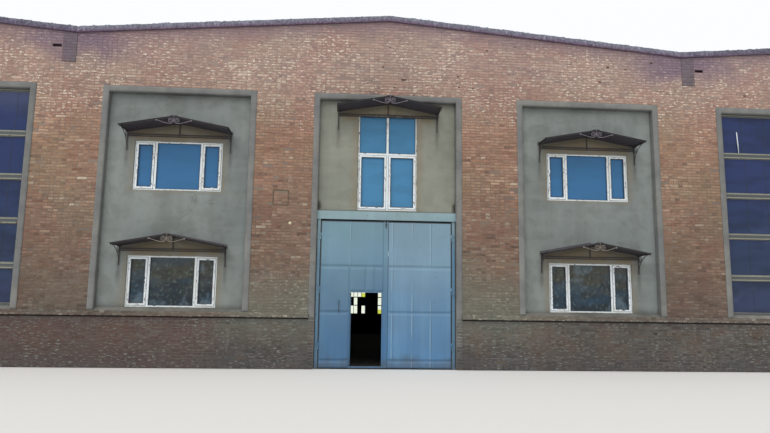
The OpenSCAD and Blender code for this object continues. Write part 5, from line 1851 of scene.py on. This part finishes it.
@dataclass
class HallWindows:
    """Flat bars on the transoms, upright glass joints, putty and a loose bar in the front hall windows."""

    frame_f: float = 0.06
    rail_h: float = 0.15
    pitch: float = 1.135
    rails: int = 4
    mullion: float = 0.08
    front: float = -0.1
    glass: float = -0.137
    flat: float = 0.03
    putty: float = 0.012
    joint_pitch: float = 0.62
    loose: tuple[Triple, ...] = ((9.83, 6.57, -0.122), (9.836, 6.36, -0.116), (9.84, 6.16, -0.11),
                                 (9.85, 5.955, -0.104))
    rng: np.random.Generator = seeded(83)

    def build(self) -> None:
        """Adds the bars, joints and putty of both windows, and the loose bar in the right one."""
        flats, joints, putty = [], [], []
        edge, head = plan.half_end - self.frame_f, plan.head_z - self.frame_f
        level = head - self.pitch * np.arange(self.rails, 0, -1)
        rails = level[:, None] + np.array([-0.5, 0.5]) * self.rail_h
        ends = np.concatenate([[plan.sill_z + self.frame_f], rails.ravel(), [head]])
        for middle in (-2 * plan.bay, 2 * plan.bay):
            flats += [(middle - edge, z, middle + edge, z + self.flat)
                      for z in (rails + np.array([0.006, -0.006 - self.flat])).ravel()]
            flats.append((middle - edge - 0.05, head + 0.01, middle + edge + 0.05, head + 0.032))
            for (low, high), (a, b) in product(zip(ends[::2], ends[1::2]), mirrored(self.mullion / 2, edge)):
                a, b = middle + a, middle + b
                putty += frame_ring(a, low, b, high, self.putty)
                for u in np.arange(a + self.joint_pitch, b - 0.2, self.joint_pitch):
                    u += self.rng.uniform(-0.04, 0.04)
                    joints.append((u - 0.004, low, u + 0.004, high))
        for name, spans, back, proud, bevel, finish in (
                ("transom_flats", flats, self.front, 0.007, 0.0015, Finishes.pale_flat),
                ("glass_joints", joints, self.glass, 0.005, 0.0015, Finishes.black_finish),
                ("pane_putty", putty, self.glass, 0.009, 0.004, Finishes.putty)):
            FRONT.bars(spans, back - 0.002, back + proud, bevel).piece(name, finish, "hall_frame_paint")
        tube(FRONT.at(*np.array(self.loose).T), 0.014, 8).piece(
            "loose_bar", Finishes.white_bar, "hall_frame_paint", smooth=True)


@dataclass
class BackWindows:
    """Thin bars that divide each back light into small panes, dark boards in many and film in two."""

    columns: int = 5
    rows: int = 4
    lights: int = 3
    upright: float = 0.028
    level: float = 0.05
    shift: float = 0.035
    frame_f: float = 0.06
    front: float = -0.12
    back: float = -0.162
    film: Span = (-0.136, -0.132)
    boarded: float = 0.55
    clear: tuple[str, ...] = ("5 6 8 12", "6 12", "5 6 7 8 12")  # columns with glass in the lowest rows
    yellow: tuple[tuple[int, int], ...] = ((8, 2), (12, 0))  # column and row of the panes with film
    rng: np.random.Generator = seeded(97)

    def build(self) -> None:
        """Adds the bars, boards and films of the five windows."""
        thin, boards, films = [], [], []
        tall = (plan.head_z - plan.back_sill_z - (self.lights + 1) * self.frame_f) / self.lights
        step_z, clear = tall / self.rows, [{int(column) for column in row.split()} for row in self.clear]
        for bay, i, j in product(plan.bays, range(self.lights), range(self.lights)):
            half = plan.back_half(bay)
            wide = (2 * half - (self.lights + 1) * self.frame_f) / self.lights
            left = bay * plan.bay - half + self.frame_f + i * (wide + self.frame_f)
            low, step_x = plan.back_sill_z + self.frame_f + j * (tall + self.frame_f), wide / self.columns
            cuts = left + self.shift + np.arange(self.columns) * step_x
            thin += [(x - self.upright / 2, low, x + self.upright / 2, low + tall) for x in cuts]
            thin += [(left, z - self.level / 2, left + wide, z + self.level / 2)
                     for z in low + np.arange(1, self.rows) * step_z]
            edges = np.concatenate([[left], cuts[1:], [left + wide]])
            for column, row in product(range(self.columns), range(self.rows)):
                place = (i * self.columns + column, j * self.rows + row)
                dark, z = self.rng.random() < self.boarded, low + row * step_z
                if bay == 0 and place[1] < len(clear):
                    dark = place[0] not in clear[place[1]]
                if dark:
                    boards.append((edges[column], z, edges[column + 1], z + step_z))
                elif bay == 0 and place in self.yellow:
                    films.append((edges[column], z, edges[column + 1], z + step_z / 2))
        for name, spans, back, front, bevel, finish, slot in (
                ("pane_bars", thin, self.back, self.front, 0.003, Finishes.board, "hall_frame_paint"),
                ("pane_boards", boards, self.back + 0.006, self.front - 0.012, 0.0015, Finishes.board,
                 "hall_glass"),
                ("pane_films", films, *self.film, 0.0005, Finishes.yellow_glass, "hall_glass")):
            turned = [(-u1, z0, -u0, z1) for u0, z0, u1, z1 in spans]
            BACK.bars(turned, back, front, bevel).piece(name, finish, slot)


# canopies

@dataclass
class Canopies:
    """Screws and ridge rolls on the sheets, wall flashing over them and weld beads on the frames."""

    out: float = 0.69
    over: float = 0.03
    rib_pitch: float = 0.11
    wall_y: float = -10.85
    screw_rows: Row = (0.16, 0.55, 0.95, 1.3)
    profile: tuple[Span, ...] = ((0.003, 0.075), (0.012, 0.072), (0.02, 0.02), (0.07, 0.011), (0.072, 0.006),
                                 (0.003, 0.006))
    roll_ys: Row = (-11.566, -11.562, -11.2, -10.86)
    roll: float = 0.026
    roll_tip: float = 0.018
    weld_ys: Span = (-10.865, -11.515)
    ridge_weld_ys: Span = (-11.53, -10.865)

    def flashing(self, x: float, z: float) -> Shell:
        """A folded strip over a canopy: its profile carried along the gable's line, which waves a little.

        Args:
            x, z: Middle of the canopy and height of its eaves.

        Returns:
            The strip, closed at both ends.
        """
        profile, end = np.array(self.profile), plan.canopy_half + self.over
        run = np.concatenate([[-end], np.linspace(-1.28, 1.28, 33), [end]])
        line = z + plan.canopy_rise * (1 - np.abs(run) / plan.canopy_half)
        line = line + 0.006 * (octaves(run + x, 0 * run + z, 0.2, 2, 5) - 0.5)
        count, last = len(profile), (len(run) - 1) * len(profile)
        points = np.stack([np.repeat(x + run, count), np.tile(self.wall_y - profile[:, 0], len(run)),
                           np.repeat(line, count) + np.tile(profile[:, 1], len(run))], axis=1)
        ends = np.array([[5, 0, 1, 2], [5, 2, 3, 4]])
        ends = np.concatenate([ends, last + ends[:, [3, 2, 1, 0]]])
        return Shell(points, np.concatenate([grid_faces(len(run), count, closed=True), ends]))

    def build(self) -> None:
        """Adds the screws, the flashing, the ridge rolls and the welds of all canopies."""
        half, rise, (low, high, top) = plan.canopy_half, plan.canopy_rise, plan.eaves
        screws, strips, rolls, welds = [], [], [], []
        slope = math.atan2(rise, half)
        ys = self.wall_y - np.arange(self.rib_pitch, self.out, self.rib_pitch)
        for x, z in ((-plan.bay, low), (plan.bay, low), (-plan.bay, high), (plan.bay, high), (0.0, top)):
            for side in (-1, 1):
                reach, y = (part.ravel() for part in np.meshgrid(side * np.array(self.screw_rows), ys))
                height = z + rise * (1 - np.abs(reach) / half) + 0.0062
                outward = (side * math.sin(slope), 0.0, math.cos(slope))
                screws.append(discs(np.c_[x + reach, y, height], outward, 0.011, 0.007))
            strips.append(self.flashing(x, z))
            rolls.append(tube([[x, y, z + rise + 0.012] for y in self.roll_ys],
                              np.array([self.roll_tip, *[self.roll] * 3]), 12))
            spots = [(x + s * (half - 0.0125), y, z - 0.034) for s in (-1, 1) for y in self.weld_ys]
            spots += [(x, y, z + rise - 0.03) for y in self.ridge_weld_ys]
            welds.append(discs(spots, (0.0, -1.0, 0.0), 0.02, 0.016, 7))
        for name, shells, finish, slot in (
                ("sheet_screws", screws, Finishes.zinc, "canopy_sheet_paint"),
                ("canopy_flashings", strips, Finishes.canopy_sheet, "canopy_sheet_paint"),
                ("ridge_rolls", rolls, Finishes.zinc, "canopy_sheet_paint"),
                ("canopy_welds", welds, Finishes.canopy_frame, "canopy_frame_paint")):
            Shell.joined(shells).piece(name, finish, slot, smooth=name == "ridge_rolls")


# gate

@dataclass(frozen=True)
class Panel:
    """A dented panel of a leaf from its left, right, low and high edge, with ridges over its folds."""

    a: float
    b: float
    low: float
    high: float
    ridges: Row = ()
    dent: float = 0.005
    fold: float = 0.0061
    lines: Row = (-0.05, -0.035, -0.022, -0.009, 0.0, 0.009, 0.022, 0.035, 0.05)

    def depth(self, u: Array, z: Array) -> Array:
        """Long dents that die out at the edges, or a ridge over a fold where that is more.

        Args:
            u, z: Places along the leaf and up it.

        Returns:
            How proud the panel stands at each place.
        """
        waves = 0.75 * octaves(u, z, 0.7, 3, 31) + 0.2 * octaves(u, z * 0.15, 0.11, 2, 9)
        skin = 0.0024 + self.dent * waves * ease(np.minimum(u - self.a, self.b - u), 0.0, 0.05)
        for place in self.ridges:
            skin = np.maximum(skin, self.fold - self.fold * ease(np.abs(u - place), 0.009, 0.05))
        return skin

    def beside(self, shift: float, most: float, u: Array, z: Array) -> Array:
        """A line at each fold that comes and goes along it, for painted highlight and shade. A place far off
        stands in for no fold.
        """
        off = np.abs(u[..., None] - np.array([*self.ridges, 99.0]) - shift).min(axis=-1)
        return most * (1 - ease(off, 0.006, 0.02)) * ease(octaves(u, z, 0.5, 3, 27), 0.3, 0.6)

    def sheet(self) -> Shell:
        """Lays the panel on a grid with lines close together over its folds.

        Returns:
            The panel, with lines of painted highlight and painted shade at its folds as values.
        """
        lines = [place + off for place in self.ridges for off in self.lines]
        u = np.unique(np.concatenate([steps(self.a, self.b, 0.045), lines]).round(4))
        # painted highlight along each fold, and painted shade just beside it
        marks = {"worn": partial(self.beside, 0.0, 0.5), "grime": partial(self.beside, 0.022, 0.4)}
        return GATE.sheet(u, steps(self.low, self.high, 0.06), self.depth, values=marks)


@dataclass
class Gate:
    """The panels between the seams, spot welds, strips of painted shadow at the gaps, the pull and the bolt
    of the old gate.
    """

    seams: Triple = (0.2, 1.42, 2.6)
    lap: float = 0.018
    low: float = 0.024
    high: float = 3.801
    joint: float = 0.056
    post: float = -0.074
    folds: Triple = (0.155, 0.685, 1.165)
    left_fold: float = -0.945
    edge: float = 1.722
    wicket: Hole = (-0.96, 0.0, -0.08, 1.962)
    head_seams: Span = (-0.29, -0.53)
    pull: Hole = (-1.217, 1.58, 0.15, 0.045)
    welds: Triple = (1.69, 3.76, 0.009)
    strips: Hole = (1.704, 1.7265, 3.78, 0.0078)
    jamb: Triple = (1.79, 1.812, 1.8335)

    def build(self) -> None:
        """Adds the panels, then the fittings."""
        cuts = [self.low] + [z + s * self.lap for z in self.seams for s in (-1, 1)] + [self.high]
        rows = list(zip(cuts[::2], cuts[1::2]))
        right = Shell.joined([Panel(self.joint, self.edge, *row, self.folds).sheet() for row in rows])
        right.piece("gate_panels_right", Finishes.gate_right, "gate_leaf_paint", "right_leaf", True)
        inner, outer = self.head_seams
        left = [Panel(-self.edge, self.wicket[0] + 0.006, *row) for row in rows[:3]]
        left += [Panel(a, b, self.wicket[3] + 0.004, rows[2][1]) for a, b in (
            (self.wicket[0] + 0.034, outer - 0.01), (outer + 0.01, inner - 0.01), (inner + 0.01, self.post))]
        left.append(Panel(-self.edge, self.post, *rows[3], (self.left_fold,)))
        left = Shell.joined([panel.sheet() for panel in left])
        left.piece("gate_panels_left", Finishes.gate, "gate_leaf_paint", "left_leaf", True)
        self.build_leaf_edges()
        self.build_fittings()

    def build_leaf_edges(self) -> None:
        """Adds spot welds, and black strips of painted shadow along the top and hinge edges, on both leaves.
        """
        outward, (weld_u, weld_z, size) = (0.0, -1.0, 0.0), self.welds
        near, far, top, proud = self.strips
        for body, side in (("left_leaf", -1), ("right_leaf", 1)):
            u = side * np.concatenate([np.full(12, weld_u), np.linspace(0.25, 1.6, 9)])
            z = np.concatenate([np.linspace(0.3, 3.7, 12), np.full(9, weld_z)])
            discs(GATE.at(u, z, 0.002), outward, size, 0.005).piece(
                f"spot_welds_{body}", Finishes.gate, "gate_leaf_paint", body, True)
            # black strips painted as the shadow in the gaps at the top and hinge edges of each leaf
            inner = -0.07 if side < 0 else self.joint
            spans = [(inner, side * 1.726, top, 3.804), (side * near, side * far, 0.022, top)]
            GATE.bars([(min(a, b), low, max(a, b), high) for a, b, low, high in spans], -0.001, proud).piece(
                f"gap_shadow_strips_{body}", Finishes.black_finish, "gate_leaf_paint", body)

    def build_fittings(self) -> None:
        """Adds the jambs' bolts, black strips of painted shadow beside the jambs, the pull with its plates,
        and the drop bolt's shoe and sleeve.
        """
        bolt, near, far = self.jamb
        z, side = np.linspace(0.25, 3.75, 10)[:, None], np.array([-1, 1])
        bolts = FRONT.at(side * bolt, z + 0.07 * side, -plan.gate_back).reshape(-1, 3)
        heads = discs(bolts, (0.0, -1.0, 0.0), 0.011, 0.006)
        heads.piece("jamb_bolts", Finishes.iron, "gate_frame_paint", smooth=True)
        # black strips painted as the shadow in the gap between each jamb and the plaster
        GATE.bars([(a, 0.03, b, 3.838) for a, b in mirrored(near, far)], -0.002, 0.004).piece(
            "jamb_gap_shadows", Finishes.black_finish, "gate_frame_paint")
        u, middle, reach, out = self.pull
        turn = np.linspace(0.0, math.pi, 9)
        grip = GATE.at(u, middle - reach * np.cos(turn), 0.002 + out * np.sin(turn) ** 0.5)
        tube(grip, 0.009).piece("gate_pull", Finishes.dark_iron, "gate_leaf_paint", "left_leaf", True)
        plates = [(u - 0.028, z - 0.025, u + 0.027, z + 0.025) for z in (middle - reach, middle + reach)]
        GATE.bars(plates, 0.0, 0.0085).piece("pull_plates", Finishes.gate, "gate_leaf_paint", "left_leaf")
        shoe = GATE.bars([(-0.036, 3.64, 0.011, 3.80)], 0.004, 0.0082)
        sleeve = tube([[-0.0125, -10.917, z] for z in (3.635, 3.66, 3.78, 3.803)], 0.0112, 10)
        Shell.joined([shoe, sleeve]).piece("bolt_shoe", Finishes.black_finish, "gate_leaf_paint", "left_leaf")


# roof

@dataclass
class Roof:
    """Felt in lapped strips on the slabs, and felt turned up the parapets."""

    drop: float = 0.23
    strip: float = 1.0
    lap: float = 0.006
    inner_y: float = 10.49
    inner_x: float = 13.37
    gutter: Span = (8.0, 8.5)
    turn_up: Row = (-0.02, 0.0, 0.02, 0.13, 0.15)

    def slope(self, low: float, high: float) -> Shell:
        """Felt on one slope: height over the slab steps down at each lap, with soft bubbles.

        Args:
            low, high: Left and right edge.

        Returns:
            The felt, with its laps as a value.
        """
        y = steps(-self.inner_y, self.inner_y, self.strip)
        y = np.unique(np.concatenate([y, y[1:-1] - 0.01, y[1:-1] + 0.09, y[1:-1] + 0.5]).round(5))
        x = steps(low, high, 0.35)
        xx, yy = np.meshgrid(x, y)
        share = ((yy + self.inner_y) * round(2 * self.inner_y / self.strip) / (2 * self.inner_y) + 1e-5) % 1.0
        lift = 0.004 + self.lap * (1 - share) + 0.006 * octaves(xx, yy, 0.8, 2, 17)
        edge = (xx <= x[0]) | (xx >= x[-1]) | (yy <= y[0]) | (yy >= y[-1])
        height = plan.top(xx) - self.drop + np.where(edge, SUNK, lift)
        return Shell(np.stack([xx, yy, height], axis=-1).reshape(-1, 3), grid_faces(len(y), len(x)),
                     {"lap": (np.abs(share - 0.5) > 0.485).astype(float).ravel()})

    def upstand(self, wall: WallFace, reach: float, low: float, high: float) -> Shell:
        """Felt turned up a parapet's inner face, with a top edge that waves a little.

        Args:
            wall: The wall's outer face.
            reach: Distance of its inner face from the middle.
            low, high: Left and right edge.

        Returns:
            The strip.
        """
        way, out = np.array(wall.along), np.array(wall.outward)
        made = WallFace(reach * out, -way, -out).sheet(
            steps(low, high, 0.25), np.array(self.turn_up), lambda u, z: 0.006 + 0.01 * (z < 0.01))
        x, y, z = made.points.T
        wave = 0.012 * (octaves(made.points @ np.abs(way), 0 * x, 0.5, 2, 3) - 0.5) * (z > 0.1)
        return Shell(np.c_[x, y, plan.top(x) - self.drop + z + wave], made.faces, made.values)

    def build(self) -> None:
        """Lays the felt."""
        (near, far), end = self.gutter, self.inner_x
        spans = ((-end, -far), (-near, 0.0), (0.0, near), (far, end))
        Shell.joined([self.slope(a, b) for a, b in spans]).piece("roof_felt", Finishes.felt, "roofing")
        made = [self.upstand(wall, self.inner_y, a, b) for wall in (BACK, FRONT) for a, b in spans]
        made += [self.upstand(wall, end, -self.inner_y, self.inner_y) for wall in (LEFT, RIGHT)]
        Shell.joined(made).piece("felt_upstands", Finishes.felt, "roofing", smooth=True)


# marks on the front

@dataclass
class Scars:
    """Small holes drawn as dark bars of painted shade, the outline of a bricked-up patch and a dab of plaster
    on the front.
    """

    holes: tuple[Hole, ...] = (
        (6.115, 8.278, 0.05, 0.035), (5.87, 7.841, 0.045, 0.035), (6.617, 8.232, 0.04, 0.03),
        (7.379, 8.449, 0.05, 0.035), (10.054, 7.596, 0.05, 0.035), (-2.313, 3.389, 0.035, 0.03),
        (0.015, 8.594, 0.03, 0.02), (-0.168, 8.029, 0.03, 0.025), (0.403, 7.684, 0.09, 0.025),
        (0.149, 7.462, 0.03, 0.025), (2.701, 8.611, 0.03, 0.025), (3.493, 8.748, 0.03, 0.025),
        (1.892, 7.829, 0.03, 0.025), (1.913, 7.531, 0.03, 0.025), (2.306, 7.51, 0.03, 0.025))
    edge: float = 0.022
    dab: Hole = (-2.529, 3.697, 0.04, 0.01)

    def build(self) -> None:
        """Adds the holes' dark bars of painted shade, the patch's outline and the dab."""
        spans = [(u - 0.75 * w, z - 0.7 * h, u + 0.75 * w, z + 0.7 * h) for u, z, w, h in self.holes]
        FRONT.bars(spans, SUNK, 0.0082, 0.008).piece("small_holes", Finishes.pit, "brick")
        outline = FRONT.bars(frame_ring(*plan.patch, self.edge), SUNK, 0.0104, 0.003)
        outline.piece("patch_outline", Finishes.patch_edge, "brick")
        u, z, radius, height = self.dab
        dab = discs(FRONT.at([u], [z], 0.004), (0.0, -1.0, 0.0), radius, height, 14)
        dab.piece("plaster_dab", Finishes.dab, "render", smooth=True)


def main() -> None:
    """Builds the camera, the stage, the frame's finishes and each sub-assembly in order, logging each piece.
    """
    logging.basicConfig(level=logging.INFO, format="%(name)s %(message)s")
    bpy.context.scene.view_settings.view_transform = "Standard"
    Viewpoint().build()
    Studio().build()
    dress_nodes()
    for kind in (Brickwork, Copings, Ledge, Plasterwork, OfficeWindows, HallWindows, BackWindows, Canopies,
                 Gate, Roof, Scars):
        kind().build()


if __name__ == "__main__":
    main()
